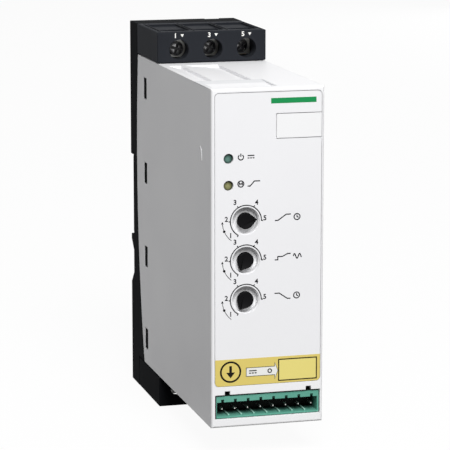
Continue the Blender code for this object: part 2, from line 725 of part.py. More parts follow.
def cut_front_panel(shop, cover):
    left, right, bottom, top = overlay_box(OVERLAY_PLAY)
    corners = [(left, bottom), (right, bottom), (right, top), (left, top)]
    depth = OVERLAY_THICKNESS + FIT_GAP
    recess = shop.outline("overlay_recess", rounded(corners, [OVERLAY_CORNER + OVERLAY_PLAY] * 4),
                          2 * depth, FRONT_PLANE)
    recess.location.y = FRONT_Y
    cut(cover, recess)
    for index, z in enumerate(dial_places()):
        cup_length = DISH_DEPTH + DISH_FLOOR - COVER_WALL / 2
        cup = shop.cylinder(f"dish_cup_{index}", DISH_RADIUS + DISH_WALL,
                            (DIAL_X, DISH_FLOOR_Y + DISH_FLOOR, z), cup_length, FACING_FRONT, sides=32)
        join(cover, cup)
        dish = shop.cylinder(f"dish_{index}", DISH_RADIUS, (DIAL_X, DISH_FLOOR_Y, z),
                             2 * DISH_DEPTH, FACING_FRONT, sides=32)
        cut(cover, dish)
        bore = shop.cylinder(f"stem_bore_{index}", KNOB_STEM_RADIUS + FIT_GAP,
                             (DIAL_X, DISH_FLOOR_Y + 2 * DISH_FLOOR, z), 4 * DISH_FLOOR,
                             FACING_FRONT, sides=20)
        cut(cover, bore)
    for name, z in (("power_light_hole", POWER_LIGHT_Z), ("run_light_hole", RUN_LIGHT_Z)):
        hole = shop.cylinder(name, LIGHT_RADIUS + FIT_GAP, (LIGHT_X, FRONT_Y + 2 * COVER_WALL, z),
                             4 * COVER_WALL, FACING_FRONT, sides=24)
        cut(cover, hole)
    cut_plug_opening(shop, cover)


def cut_plug_opening(shop, cover):
    half_z = HEADER_HEIGHT / 2 + FIT_GAP
    opening = shop.block("plug_opening",
                         (HEADER_LEFT_X - FIT_GAP, FRONT_Y - COVER_WALL, HEADER_Z - half_z),
                         (HEADER_RIGHT_X + FIT_GAP, HEADER_FRONT_Y + HEADER_DEPTH + FIT_GAP,
                          HEADER_Z + half_z))
    cut(cover, opening)
    for label, x in (("left", HEADER_LEFT_X + LATCH_LEFT_INSET),
                     ("right", HEADER_RIGHT_X - LATCH_RIGHT_INSET)):
        notch = shop.block(f"latch_notch_{label}", (x - LATCH_WIDTH / 2, FRONT_Y - COVER_WALL, HEADER_Z),
                           (x + LATCH_WIDTH / 2, FRONT_Y + 2 * COVER_WALL,
                            HEADER_Z + half_z + LATCH_HEIGHT))
        cut(cover, notch)


def make_overlay(shop):
    left, right, bottom, top = overlay_box()
    tag_left, _, tag_bottom, tag_top = tag_box()
    inner_left = tag_left - TAG_GAP
    corners = [(left, bottom), (right, bottom), (right, tag_bottom - TAG_GAP),
               (inner_left, tag_bottom - TAG_GAP), (inner_left, tag_top + TAG_GAP),
               (right, tag_top + TAG_GAP), (right, top), (left, top)]
    outer, inner = OVERLAY_CORNER, OVERLAY_CORNER / 4
    radii = [outer, outer, outer / 2, inner, inner, inner, outer, outer]
    overlay = shop.outline("front_overlay", rounded(corners, radii), OVERLAY_THICKNESS, FRONT_PLANE,
                           "overlay_foil")
    overlay.location.y = FRONT_Y + OVERLAY_THICKNESS / 2
    holes = [(DIAL_X, z, DISH_RADIUS + FIT_GAP) for z in dial_places()]
    holes += [(LIGHT_X, z, LIGHT_RADIUS + FIT_GAP) for z in (POWER_LIGHT_Z, RUN_LIGHT_Z)]
    for index, (x, z, radius) in enumerate(holes):
        punch = shop.cylinder(f"overlay_punch_{index}", radius, (x, FRONT_Y + COVER_WALL, z),
                              2 * COVER_WALL, FACING_FRONT, sides=32)
        cut(overlay, punch)
    return overlay


def make_tag(shop):
    left, right, bottom, top = tag_box()
    corners = [(left, bottom), (right, bottom), (right, top), (left, top)]
    tag = shop.outline("marker_tag", rounded(corners, [OVERLAY_CORNER / 4] * 4), OVERLAY_THICKNESS,
                       FRONT_PLANE, "tag_card")
    tag.location.y = FRONT_Y + OVERLAY_THICKNESS / 2
    return tag


def teardrop(angle_deg):
    """Knob face: a disc drawn out to a small round tip at the given angle."""
    tip_centre = KNOB_REACH - KNOB_TIP_RADIUS
    tangent_deg = math.degrees(math.acos((KNOB_RADIUS - KNOB_TIP_RADIUS) / tip_centre))
    disc = arc_points((0, 0), KNOB_RADIUS, tangent_deg, 360 - tangent_deg, 28)
    tip = arc_points((tip_centre, 0), KNOB_TIP_RADIUS, -tangent_deg, tangent_deg, 4)
    turn = Matrix.Rotation(math.radians(angle_deg), 2)
    return [tuple(turn @ Vector(point)) for point in disc + tip]


def make_dial(shop, index, z):
    """A knob with its pointer, and the potentiometer that it turns."""
    pointer_deg = MARK_HIGH_DEG if index == 0 else MARK_LOW_DEG
    knob = shop.outline(f"dial_{index + 1}", teardrop(pointer_deg), KNOB_THICKNESS, FRONT_PLANE,
                        "knob_plastic")
    knob.location = (DIAL_X, FRONT_Y + KNOB_THICKNESS / 2, z)
    pot_front_y = CONTROL_BOARD_Y - FIT_GAP - POT_THICKNESS
    stem_length = pot_front_y - FIT_GAP - FRONT_Y - KNOB_THICKNESS / 2
    stem = shop.cylinder(f"dial_stem_{index + 1}", KNOB_STEM_RADIUS, (DIAL_X, pot_front_y - FIT_GAP, z),
                         stem_length, FACING_FRONT, sides=20)
    join(knob, stem)
    half = POT_SIZE / 2
    pot = shop.block(f"potentiometer_{index + 1}", (DIAL_X - half, pot_front_y, z - half),
                     (DIAL_X + half, CONTROL_BOARD_Y - FIT_GAP, z + half), "dark_resin")
    ease_edges(pot, BLOCK_EDGE)


def make_light_pipe(shop, name, z, finish):
    """A collared light guide between the board and the front panel."""
    length = CONTROL_BOARD_SETBACK - FIT_GAP - 2 * OVERLAY_THICKNESS
    collar_low = length - COVER_WALL - FIT_GAP - LIGHT_COLLAR_LENGTH
    profile = [
        (0, length),
        (LIGHT_RADIUS - FIT_GAP, length),
        (LIGHT_RADIUS, length - FIT_GAP),
        (LIGHT_RADIUS, collar_low + LIGHT_COLLAR_LENGTH),
        (LIGHT_COLLAR_RADIUS, collar_low + LIGHT_COLLAR_LENGTH),
        (LIGHT_COLLAR_RADIUS, collar_low),
        (LIGHT_RADIUS, collar_low),
        (LIGHT_RADIUS, 0),
        (0, 0),
    ]
    shop.turned(name, profile, (LIGHT_X, CONTROL_BOARD_Y - FIT_GAP, z), FACING_FRONT, finish, sides=20)


def make_header(shop):
    """The green shroud: a notched upper wall, a ribbed floor and eight pins."""
    half_z = HEADER_HEIGHT / 2
    back_y = HEADER_FRONT_Y + HEADER_DEPTH
    header = shop.block("control_header", (HEADER_LEFT_X, HEADER_FRONT_Y, HEADER_Z - half_z),
                        (HEADER_RIGHT_X, back_y, HEADER_Z + half_z), "green_plastic")
    socket_top = HEADER_Z + half_z - HEADER_TOP_WALL
    socket_low = HEADER_Z - half_z + HEADER_WALL
    socket = shop.block("plug_socket",
                        (HEADER_LEFT_X + HEADER_WALL, HEADER_FRONT_Y - HEADER_WALL, socket_low),
                        (HEADER_RIGHT_X - HEADER_WALL, back_y - HEADER_BACK_WALL, socket_top))
    cut(header, socket)
    pin_z = (socket_top + socket_low) / 2
    bore = PIN_WIDTH / 2 + FIT_GAP / 2
    places = pin_places()
    for index, x in enumerate(places):
        notch = shop.block(f"header_notch_{index}",
                           (x - HEADER_NOTCH / 2, HEADER_FRONT_Y - HEADER_WALL, socket_top - HEADER_WALL),
                           (x + HEADER_NOTCH / 2, HEADER_FRONT_Y + HEADER_BACK_WALL,
                            socket_top + HEADER_NOTCH))
        cut(header, notch)
        pin_bore = shop.block(f"pin_bore_{index}", (x - bore, back_y - 2 * HEADER_BACK_WALL, pin_z - bore),
                              (x + bore, back_y + HEADER_BACK_WALL, pin_z + bore))
        cut(header, pin_bore)
    for index, x in enumerate(places[:-1]):
        x += PIN_PITCH / 2
        rib = shop.block(f"header_rib_{index}",
                         (x - HEADER_RIB / 2, HEADER_FRONT_Y + HEADER_RIB, socket_low - HEADER_RIB / 2),
                         (x + HEADER_RIB / 2, back_y - HEADER_BACK_WALL / 2, socket_low + HEADER_RIB))
        join(header, rib)
    make_pins(shop, places, pin_z)


def make_pins(shop, places, pin_z):
    """Square pins that reach from the board into the shroud."""
    low_y = HEADER_FRONT_Y + PIN_SETBACK
    high_y = CONTROL_BOARD_Y - FIT_GAP
    half = PIN_WIDTH / 2
    for index, x in enumerate(places):
        shop.block(f"header_pin_{index + 1}", (x - half, low_y, pin_z - half),
                   (x + half, high_y, pin_z + half), "plated_steel")


def dished_outline(x):
    """Plan view of a shallow entry with a round front end."""
    half = (POLE_PITCH - DISHED_ENTRY_RIB) / 2
    front_y = BLOCK_FRONT_Y + DISHED_ENTRY_FRONT
    points = []
    for place in arc_points((0, 0), 1.0, 180, 360, 12):
        points.append((x + half * place[0], front_y + DISHED_ENTRY_NOSE * (1 + place[1])))
    rear_y = front_y + DISHED_ENTRY_LENGTH
    return points + [(x + half, rear_y), (x - half, rear_y)]


def make_terminal_block(shop, name, side):
    """A three pole block; side is +1 at the top of the unit and -1 at the bottom."""
    outer_z = TOP_Z if side > 0 else BOTTOM_Z
    rear_y = BASE_FRONT_Y - FIT_GAP

    def depth_z(drop):
        return outer_z - side * drop

    def cutter(label, low_x, high_x, low_y, high_y, drop_a, drop_b):
        low_z, high_z = sorted((depth_z(drop_a), depth_z(drop_b)))
        return shop.block(f"{name}_{label}", (low_x, low_y, low_z), (high_x, high_y, high_z))

    low_z, high_z = sorted((outer_z, depth_z(TERMINAL_HEIGHT - FIT_GAP)))
    body = shop.block(name, (-HALF_WIDTH, BLOCK_FRONT_Y, low_z), (HALF_WIDTH, rear_y, high_z),
                      "black_plastic")
    ease_edges(body, BLOCK_EDGE, 2)
    tongue_half = COVER_INNER_X - FIT_GAP
    join(body, cutter("tongue", -tongue_half, tongue_half, BLOCK_FRONT_Y + COVER_WALL, TONGUE_REAR_Y,
                      TERMINAL_HEIGHT - COVER_WALL, TERMINAL_HEIGHT + TONGUE_HEIGHT))
    screw_z = depth_z(SCREW_DROP)
    shank_end_y = CONTACT_FRONT_Y + SHANK_LENGTH
    places = pole_places()
    for index, x in enumerate(places):
        half = CHAMBER_WIDTH / 2
        cut(body, cutter(f"chamber_{index}", x - half, x + half, CHAMBER_START_Y, CHAMBER_END_Y,
                         -COVER_WALL, CHAMBER_FLOOR))
        bar_half = CONTACT_WIDTH / 2 + FIT_GAP
        cut(body, cutter(f"bar_slot_{index}", x - bar_half, x + bar_half, CONTACT_FRONT_Y - FIT_GAP,
                         CHAMBER_END_Y, SCREW_DROP, TERMINAL_HEIGHT + 2 * TONGUE_HEIGHT))
        driver = shop.cylinder(f"{name}_driver_hole_{index}", DRIVER_HOLE_RADIUS,
                               (x, CHAMBER_START_Y + COVER_WALL, screw_z),
                               CHAMBER_START_DEPTH + 2 * COVER_WALL, FACING_FRONT, sides=28)
        cut(body, driver)
        shank = shop.cylinder(f"{name}_shank_bore_{index}", SHANK_RADIUS + 2 * FIT_GAP,
                              (x, shank_end_y, screw_z), SHANK_LENGTH, FACING_FRONT, sides=20)
        cut(body, shank)
        dish = shop.outline(f"{name}_entry_{index}", dished_outline(x), 2 * DISHED_ENTRY_DEPTH,
                            TOP_PLANE)
        dish.location.z = outer_z
        cut(body, dish)
    for index in range(POLE_COUNT + 1):
        x = places[0] + POLE_PITCH * (index - 0.5)
        slot_front_y = BLOCK_FRONT_Y + DISHED_ENTRY_FRONT
        cut(body, cutter(f"pole_slot_{index}", x - POLE_SLOT_WIDTH / 2, x + POLE_SLOT_WIDTH / 2,
                         slot_front_y, slot_front_y + POLE_SLOT_LENGTH, -COVER_WALL, POLE_SLOT_DEPTH))
    for index, x in enumerate(places):
        make_terminal(shop, name.split("_")[0], index, x, screw_z, side)


def make_terminal(shop, end, index, x, screw_z, side):
    """Contact bar, saddle clamp and cross-head screw of one pole."""
    label = f"{end}_{{}}_{index + 1}"
    head_y = BLOCK_FRONT_Y + HEAD_REST_DEPTHS[index]
    make_screw(shop, label.format("screw"), (x, head_y, screw_z))
    make_clamp(shop, label.format("clamp"), (x, head_y + HEAD_HEIGHT + FIT_GAP, screw_z))
    make_contact(shop, label.format("contact"), x, screw_z, side)


def make_screw(shop, name, place):
    """The origin is on the axis at the face of the head, +Z of the mesh to the front."""
    profile = [
        (0, 0),
        (HEAD_RADIUS - HEAD_RIM, 0),
        (HEAD_RADIUS, -HEAD_RIM),
        (HEAD_RADIUS, -HEAD_HEIGHT),
        (SHANK_RADIUS, -HEAD_HEIGHT),
        (SHANK_RADIUS, -HEAD_HEIGHT - SHANK_LENGTH + HEAD_RIM),
        (SHANK_RADIUS - HEAD_RIM, -HEAD_HEIGHT - SHANK_LENGTH),
        (0, -HEAD_HEIGHT - SHANK_LENGTH),
    ]
    screw = shop.turned(name, profile, place, FACING_FRONT, "plated_steel", sides=24)
    arm = HEAD_RADIUS - HEAD_RIM
    x, y, z = place
    for arm_name, reach_x, reach_z in (("across", arm, CROSS_SLOT_WIDTH / 2),
                                       ("upright", CROSS_SLOT_WIDTH / 2, arm)):
        slot = shop.block(f"{name}_{arm_name}", (x - reach_x, y - CROSS_SLOT_DEPTH, z - reach_z),
                          (x + reach_x, y + CROSS_SLOT_DEPTH, z + reach_z))
        cut(screw, slot)
    return screw


def make_clamp(shop, name, place):
    """A saddle washer: a plate with its two sides turned down towards the contact."""
    x, y, z = place
    half = CLAMP_WIDTH / 2
    section = [(-half, 0), (half, 0), (half, CLAMP_SHEET + CLAMP_LEG),
               (half - CLAMP_SHEET, CLAMP_SHEET + CLAMP_LEG), (half - CLAMP_SHEET, CLAMP_SHEET),
               (CLAMP_SHEET - half, CLAMP_SHEET), (CLAMP_SHEET - half, CLAMP_SHEET + CLAMP_LEG),
               (-half, CLAMP_SHEET + CLAMP_LEG)]
    clamp = shop.outline(name, section, CLAMP_HEIGHT, TOP_PLANE, "plated_steel")
    clamp.location = (x, y, z)
    hole = shop.cylinder(f"{name}_hole", SHANK_RADIUS + FIT_GAP, (x, y + 2 * CLAMP_SHEET, z),
                         4 * CLAMP_SHEET, FACING_FRONT, sides=20)
    cut(clamp, hole)
    return clamp


def make_contact(shop, name, x, screw_z, side):
    """A bent bar: upright under the clamp, then back to the power board."""
    top = screw_z + side * CLAMP_HEIGHT / 2
    low = screw_z - side * CONTACT_DROP
    front_y = CONTACT_FRONT_Y
    back_y = CONTACT_FRONT_Y + CONTACT_SHEET
    end_y = POWER_BOARD_FRONT_Y - FIT_GAP
    bend = side * CONTACT_SHEET
    section = [(front_y, top), (front_y, low - bend), (end_y, low - bend), (end_y, low),
               (back_y, low), (back_y, top)]
    contact = shop.outline(name, section, CONTACT_WIDTH, SIDE_PLANE, "copper_bar")
    contact.location.x = x
    hole = shop.cylinder(f"{name}_hole", SHANK_RADIUS + FIT_GAP, (x, back_y + CONTACT_SHEET, screw_z),
                         4 * CONTACT_SHEET, FACING_FRONT, sides=20)
    cut(contact, hole)
    return contact


def clip_bottom_z():
    return CLIP_NOSE_Z - CLIP_LENGTH


def window_top_z():
    return CLIP_NOSE_Z - CLIP_WINDOW_TOP


def spring_foot_z():
    """Where the lower end of the spring stands on the boss of the tray."""
    return window_top_z() - FIT_GAP - SPRING_LENGTH - FIT_GAP


def make_rail_clip(shop):
    """A T-section slider with a nose that hooks the rail from below."""
    half = CLIP_WIDTH / 2
    neck = half - CLIP_FLANGE - FIT_GAP
    front_y = CLIP_REAR_Y - CLIP_SHEET
    low_z = clip_bottom_z()
    shoulder_z = -RAIL_TOP_Z - RAIL_FREE_PLAY
    section = [(-half, front_y), (half, front_y), (half, front_y + CLIP_FLANGE_SHEET),
               (neck, front_y + CLIP_FLANGE_SHEET), (neck, CLIP_REAR_Y), (-neck, CLIP_REAR_Y),
               (-neck, front_y + CLIP_FLANGE_SHEET), (-half, front_y + CLIP_FLANGE_SHEET)]
    clip = shop.outline("rail_clip", section, CLIP_NOSE_Z - low_z, TOP_PLANE, "black_plastic")
    clip.location = (0, 0, (CLIP_NOSE_Z + low_z) / 2)
    rail_room = shop.block("clip_rail_room", (-CLIP_WIDTH, front_y - CLIP_SHEET, shoulder_z),
                           (CLIP_WIDTH, RAIL_SHEET + RAIL_FREE_PLAY, CLIP_NOSE_Z + CLIP_SHEET))
    cut(clip, rail_room)
    window_half = CLIP_WINDOW_WIDTH / 2
    window = shop.block("clip_window", (-window_half, front_y - CLIP_SHEET,
                                        window_top_z() - CLIP_WINDOW_LENGTH),
                        (window_half, REAR_Y + CLIP_SHEET, window_top_z()))
    cut(clip, window)
    slot_z = low_z + RELEASE_SLOT_RISE
    release = shop.block("clip_release_slot", (-RELEASE_SLOT_WIDTH / 2, front_y - CLIP_SHEET, slot_z),
                         (RELEASE_SLOT_WIDTH / 2, REAR_Y + CLIP_SHEET, slot_z + RELEASE_SLOT_HEIGHT))
    cut(clip, release)
    make_spring(shop)
    return clip


def make_spring(shop):
    """A fine coil that stands in the clip's window."""
    curve = bpy.data.curves.new("clip_spring", "CURVE")
    curve.dimensions = "3D"
    curve.bevel_depth = SPRING_WIRE
    curve.bevel_resolution = 1
    curve.use_fill_caps = True
    spline = curve.splines.new("POLY")
    steps = SPRING_TURNS * SPRING_TURN_STEPS
    spline.points.add(steps)
    low_z = spring_foot_z() + FIT_GAP + SPRING_WIRE
    centre_y = CLIP_REAR_Y - CLIP_SHEET / 2
    rise = SPRING_LENGTH - 2 * SPRING_WIRE - FIT_GAP
    for index, point in enumerate(spline.points):
        share = index / steps
        angle = 2 * math.pi * SPRING_TURNS * share
        point.co = (SPRING_RADIUS * math.cos(angle), SPRING_RADIUS * math.sin(angle), rise * share, 1)
    spring = bpy.data.objects.new("clip_spring", curve)
    shop.parts.objects.link(spring)
    curve.materials.append(shop.materials["spring_steel"])
    spring.location = (0, centre_y, low_z)


def make_boards(shop):
    """Power board in the tray, control board behind the panel, a link between them."""
    half = COVER_INNER_X - CONTROL_BOARD_MARGIN
    low_z = COVER_BOTTOM_Z + 2 * COVER_WALL
    high_z = COVER_TOP_Z - 2 * COVER_WALL
    shop.block("control_board", (-half, CONTROL_BOARD_Y, low_z),
               (half, CONTROL_BOARD_Y + BOARD_SHEET, high_z), "circuit_board")
    shop.block("power_board", (-POWER_BOARD_HALF, POWER_BOARD_FRONT_Y, POWER_BOARD_LOW_Z),
               (POWER_BOARD_HALF, POWER_BOARD_FRONT_Y + BOARD_SHEET, POWER_BOARD_HIGH_Z),
               "circuit_board")
    half_z = LINK_BOARD_HEIGHT / 2
    shop.block("link_board",
               (LINK_BOARD_X, CONTROL_BOARD_Y + BOARD_SHEET + FIT_GAP, MIDDLE_Z - half_z),
               (LINK_BOARD_X + BOARD_SHEET, POWER_BOARD_FRONT_Y - FIT_GAP, MIDDLE_Z + half_z),
               "circuit_board")


def heatsink_outline():
    """Plan view of the extrusion: a sole with fins that point to the front."""
    sole_y = POWER_BOARD_FRONT_Y - FIT_GAP - THYRISTOR_THICKNESS - FIT_GAP
    root_y = sole_y - HEATSINK_SOLE
    tip_y = sole_y - HEATSINK_DEPTH
    left = HEATSINK_LEFT_X
    pitch = (HEATSINK_WIDTH - HEATSINK_FIN_SHEET) / (HEATSINK_FINS - 1)
    points = [(left + HEATSINK_WIDTH, sole_y), (left, sole_y)]
    for fin in range(HEATSINK_FINS):
        start = left + pitch * fin
        points += [(start, root_y), (start, tip_y), (start + HEATSINK_FIN_SHEET, tip_y),
                   (start + HEATSINK_FIN_SHEET, root_y)]
    return points[:2] + points[3:-1]


def make_power_stage(shop):
    """Thyristor modules under the heatsink, and two bypass relays below."""
    heatsink = shop.outline("heatsink", heatsink_outline(), HEATSINK_HEIGHT, TOP_PLANE, "aluminium")
    centre_z = HEATSINK_LOW_Z + HEATSINK_HEIGHT / 2
    heatsink.location.z = centre_z
    high_y = POWER_BOARD_FRONT_Y - FIT_GAP
    half = THYRISTOR_SIZE / 2
    for index, side in enumerate((-1, 1)):
        z = centre_z + side * HEATSINK_HEIGHT / 4
        module = shop.block(f"thyristor_{index + 1}",
                            (HEATSINK_CENTRE_X - half, high_y - THYRISTOR_THICKNESS, z - half),
                            (HEATSINK_CENTRE_X + half, high_y, z + half), "dark_resin")
        ease_edges(module, BLOCK_EDGE)
        x = side * (RELAY_WIDTH + RELAY_GAP) / 2 + HEATSINK_CENTRE_X
        relay = shop.block(f"bypass_relay_{index + 1}",
                           (x - RELAY_WIDTH / 2, high_y - RELAY_DEPTH, RELAY_LOW_Z),
                           (x + RELAY_WIDTH / 2, high_y, RELAY_LOW_Z + RELAY_LENGTH), "relay_case")
        ease_edges(relay, BLOCK_EDGE, 2)


def make_capacitors(shop):
    """Two round capacitors stand on the back of the control board."""
    length = CAPACITOR_LENGTH
    rear_y = CONTROL_BOARD_Y + BOARD_SHEET + FIT_GAP + length
    for index, z in enumerate((MIDDLE_Z - CAPACITOR_PITCH / 2, MIDDLE_Z + CAPACITOR_PITCH / 2)):
        capacitor = shop.cylinder(f"capacitor_{index + 1}", CAPACITOR_RADIUS, (0.0, rear_y, z), length,
                                  FACING_FRONT, "relay_case", sides=24)
        ease_edges(capacitor, BLOCK_EDGE)


def main():
    clear_scene()
    shop = Workshop()
    make_base(shop)
    make_cover(shop)
    make_overlay(shop)
    make_tag(shop)
    for index, z in enumerate(dial_places()):
        make_dial(shop, index, z)
    make_light_pipe(shop, "power_light_pipe", POWER_LIGHT_Z, "green_light")
    make_light_pipe(shop, "run_light_pipe", RUN_LIGHT_Z, "yellow_light")
    make_header(shop)
    make_terminal_block(shop, "line_terminal_block", 1)
    make_terminal_block(shop, "load_terminal_block", -1)
    make_rail_clip(shop)
    make_boards(shop)
    make_power_stage(shop)
    make_capacitors(shop)


main()
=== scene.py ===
# %% [markdown]
# # Dressing a rail-mounted soft starter
#
# A soft starter is a narrow box that brings a motor up to speed gently. It clips
# onto a rail in a control cabinet, so its width is small and its depth is large.
# Its working solids could be modelled again here, but then sizes and joints could
# drift away from the real ones. So they are loaded from a packed frame, and this
# lesson adds what the eye sees: the moulded finishes, the print on the panel, the
# knobs, the lenses and the screws. The frame is loaded first, because every later
# size is read from it.

# %% Load the frame
import math

import bmesh
import bpy
from mathutils import Matrix, Vector


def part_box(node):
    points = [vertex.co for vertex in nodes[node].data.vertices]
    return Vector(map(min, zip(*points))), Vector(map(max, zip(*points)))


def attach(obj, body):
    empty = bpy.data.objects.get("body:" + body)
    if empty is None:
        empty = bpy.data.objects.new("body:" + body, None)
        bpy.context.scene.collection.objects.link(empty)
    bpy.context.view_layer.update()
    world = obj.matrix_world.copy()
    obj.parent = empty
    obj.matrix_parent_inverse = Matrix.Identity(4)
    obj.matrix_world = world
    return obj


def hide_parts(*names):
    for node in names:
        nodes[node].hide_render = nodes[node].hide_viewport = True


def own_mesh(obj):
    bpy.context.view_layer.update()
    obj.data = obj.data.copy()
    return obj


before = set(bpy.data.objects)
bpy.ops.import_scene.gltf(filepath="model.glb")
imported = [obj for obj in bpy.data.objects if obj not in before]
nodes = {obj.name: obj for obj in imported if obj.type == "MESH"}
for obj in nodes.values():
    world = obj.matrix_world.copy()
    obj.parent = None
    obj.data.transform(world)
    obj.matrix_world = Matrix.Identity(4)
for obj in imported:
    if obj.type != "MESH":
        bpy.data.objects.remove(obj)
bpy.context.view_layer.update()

# %% [markdown]
# The places that matter most could be typed in as numbers. They are read from the
# nodes instead, because a place that is read stays right when the part changes.
# The front panel is the plane of the printed overlay, the white cover gives the
# height of its finger strips, and the black tray gives the height of the floor.

# %% Read the main places from the nodes
MILLIMETRE = 0.001
overlay_low, overlay_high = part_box("front_overlay")
cover_low, cover_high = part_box("cover")
front_y = overlay_low.y
floor_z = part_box("base")[0].z
print(f"panel at y {front_y:.4f}, floor at z {floor_z:.4f}")

# %% [markdown]
# The picture was taken with a long lens from the left, a little above the middle.
# A long lens far away keeps the tall edges nearly parallel. A camera could be given
# coordinates and three angles, but then every move changes all six. Here it is
# placed by two angles and a distance from the point that it looks at, because these
# are the numbers that a photographer would change.

# %% Place the camera
CAMERA_LEFT_DEG = 15.07
CAMERA_RISE_DEG = 10.73
CAMERA_DISTANCE = 0.9337
CAMERA_LENS_MM = 186.4
CAMERA_AIM = Vector((0.0012, -0.0605, -0.0038))
CAMERA_NEAREST = 10 * MILLIMETRE
SENSOR_MM = 36.0


def direction(left_deg, rise_deg):
    """From the object towards a viewer who stands left of the front and above it."""
    left, rise = math.radians(left_deg), math.radians(rise_deg)
    level = math.cos(rise)
    return Vector((-math.sin(left) * level, -math.cos(left) * level, math.sin(rise)))


def link(item):
    bpy.context.scene.collection.objects.link(item)
    return item


camera_data = bpy.data.cameras.new("camera")
camera_data.lens = CAMERA_LENS_MM
camera_data.sensor_width = SENSOR_MM
camera_data.clip_start = CAMERA_NEAREST
camera = link(bpy.data.objects.new("camera", camera_data))
towards_camera = direction(CAMERA_LEFT_DEG, CAMERA_RISE_DEG)
camera.location = CAMERA_AIM + towards_camera * CAMERA_DISTANCE
camera.rotation_euler = towards_camera.to_track_quat("Z", "Y").to_euler()
bpy.context.scene.camera = camera
print("camera at", [round(value, 3) for value in camera.location])

# %% [markdown]
# A finish is a graph of nodes. Each node can be added and linked by hand, but that
# takes many lines and hides the idea. Two small classes turn a graph into sentences
# instead. The first is a Wire: one value or colour on its way to a socket.
# Arithmetic on a wire adds Math nodes, also where a number stands first, as in
# 1 - mask.

# %% Wires that can be calculated with
HALF_WAY = 0.5


class Wire:
    """One output socket that can be used in arithmetic. A mask is a wire that is 0 or 1."""

    def __init__(self, graph, socket):
        self.graph = graph
        self.socket = socket

    def math(self, operation, *others):
        values = dict(enumerate((self, *others)))
        return self.graph.node("ShaderNodeMath", {"operation": operation}, values)

    def __add__(self, other):
        return self.math("ADD", other)

    def __sub__(self, other):
        return self.math("SUBTRACT", other)

    def __rsub__(self, other):
        return self * -1.0 + other

    def __mul__(self, other):
        return self.math("MULTIPLY", other)

    def above(self, edge):
        """1 where the value is above the edge, and 0 elsewhere."""
        return self.math("GREATER_THAN", edge)

    __radd__ = __add__
    __rmul__ = __mul__


print("a wire knows +, -, * and", [name for name in vars(Wire) if not name.startswith("_")])

# %% [markdown]
# The second class is a Graph, the node tree of one material or of the world. It
# adds every other kind of node through one method, settings first and sockets
# second. Patterns could be laid out on a UV map, but a moulded part has no cuts and
# seams for it to follow. So they read the place on the object, which needs no
# unwrapping and stays on the piece when it moves.

# %% Graphs of nodes
# The Mix node has its sockets for numbers and for colours under the same names, so
# those for colours are known by their numbers.
MIX_FACTOR, MIX_FIRST, MIX_SECOND, MIX_RESULT = 0, 6, 7, 2


class Graph:
    """The node tree of a material or of the world."""

    def __init__(self, owner):
        owner.use_nodes = True
        self.owner = owner
        self.tree = owner.node_tree

    def feed(self, socket, value):
        """Link a wire to a socket, or set the socket to a plain value."""
        if isinstance(value, Wire):
            self.tree.links.new(value.socket, socket)
        else:
            socket.default_value = value

    def node(self, kind, settings=None, sockets=None, output=0):
        """Any node: its settings, then what its sockets take, then the output to go on from."""
        made = self.tree.nodes.new(kind)
        for name, value in (settings or {}).items():
            setattr(made, name, value)
        for key, value in (sockets or {}).items():
            self.feed(made.inputs[key], value)
        return Wire(self, made.outputs[output])

    def blend(self, factor, first, second):
        """A mix of two colours; factor 0 is the first."""
        colours = {MIX_FACTOR: factor, MIX_FIRST: first, MIX_SECOND: second}
        return self.node("ShaderNodeMix", {"data_type": "RGBA"}, colours, MIX_RESULT)

    def fade(self, value, start, end):
        """0 up to the start, 1 from the end on, and an even rise between them."""
        limits = {"Value": value, "From Min": start, "From Max": end}
        return self.node("ShaderNodeMapRange", sockets=limits)

    def place(self):
        """Where a point is on the object, in metres."""
        return self.node("ShaderNodeTexCoord", output="Object")

    def axis(self, letter):
        """One coordinate of the place, in metres."""
        return self.node("ShaderNodeSeparateXYZ", sockets={"Vector": self.place()}, output=letter)

    def noise(self, cell, stretch=(1.0, 1.0, 1.0)):
        """Cloudy noise from 0 to 1 with lumps one cell wide, longer where stretch is above 1."""
        scale = [1.0 / length for length in stretch]
        place = self.node("ShaderNodeMapping", sockets={"Vector": self.place(), "Scale": scale})
        return self.node("ShaderNodeTexNoise", sockets={"Vector": place, "Scale": 1.0 / cell})


print("a graph offers", [name for name in vars(Graph) if not name.startswith("_")])

# %% [markdown]
# Shaders count light, and a screen's numbers from 0 to 255 are not light: twice the
# number is far more than twice the light. Colours could be written as light, but
# few people can picture them so. Here each colour is written as a screen shows it,
# and a helper turns it into light along the standard curve of screens.

# %% Colours as a screen shows them
SCREEN_WHITE = 255
STRAIGHT_END = 0.04045
STRAIGHT_SLOPE = 12.92
CURVE_LIFT = 0.055
CURVE_POWER = 2.4


def to_light(share):
    """The light that one channel of a screen, from 0 to 1, stands for."""
    if share <= STRAIGHT_END:
        return share / STRAIGHT_SLOPE
    return ((share + CURVE_LIFT) / (1 + CURVE_LIFT)) ** CURVE_POWER


def paint(red, green, blue):
    """A colour as a screen shows it, 0 to 255, turned into the light that shaders use."""
    return (*[to_light(value / SCREEN_WHITE) for value in (red, green, blue)], 1.0)


print("mid grey is", [round(value, 3) for value in paint(128, 128, 128)])

# %% [markdown]
# The background is plain white. More light on a floor would make it white too, but
# it would also bleach the object, and lamps never light a floor evenly. So the
# floor shows most of its white to the camera directly and keeps only a part of the
# lamps' light. That part carries the shadow. Reflections see the same white, so
# that metal shows the background that surrounds it. Light that bounces off the
# floor comes from a greyer paint, because a white studio floor would fill the
# shaded side of the object.

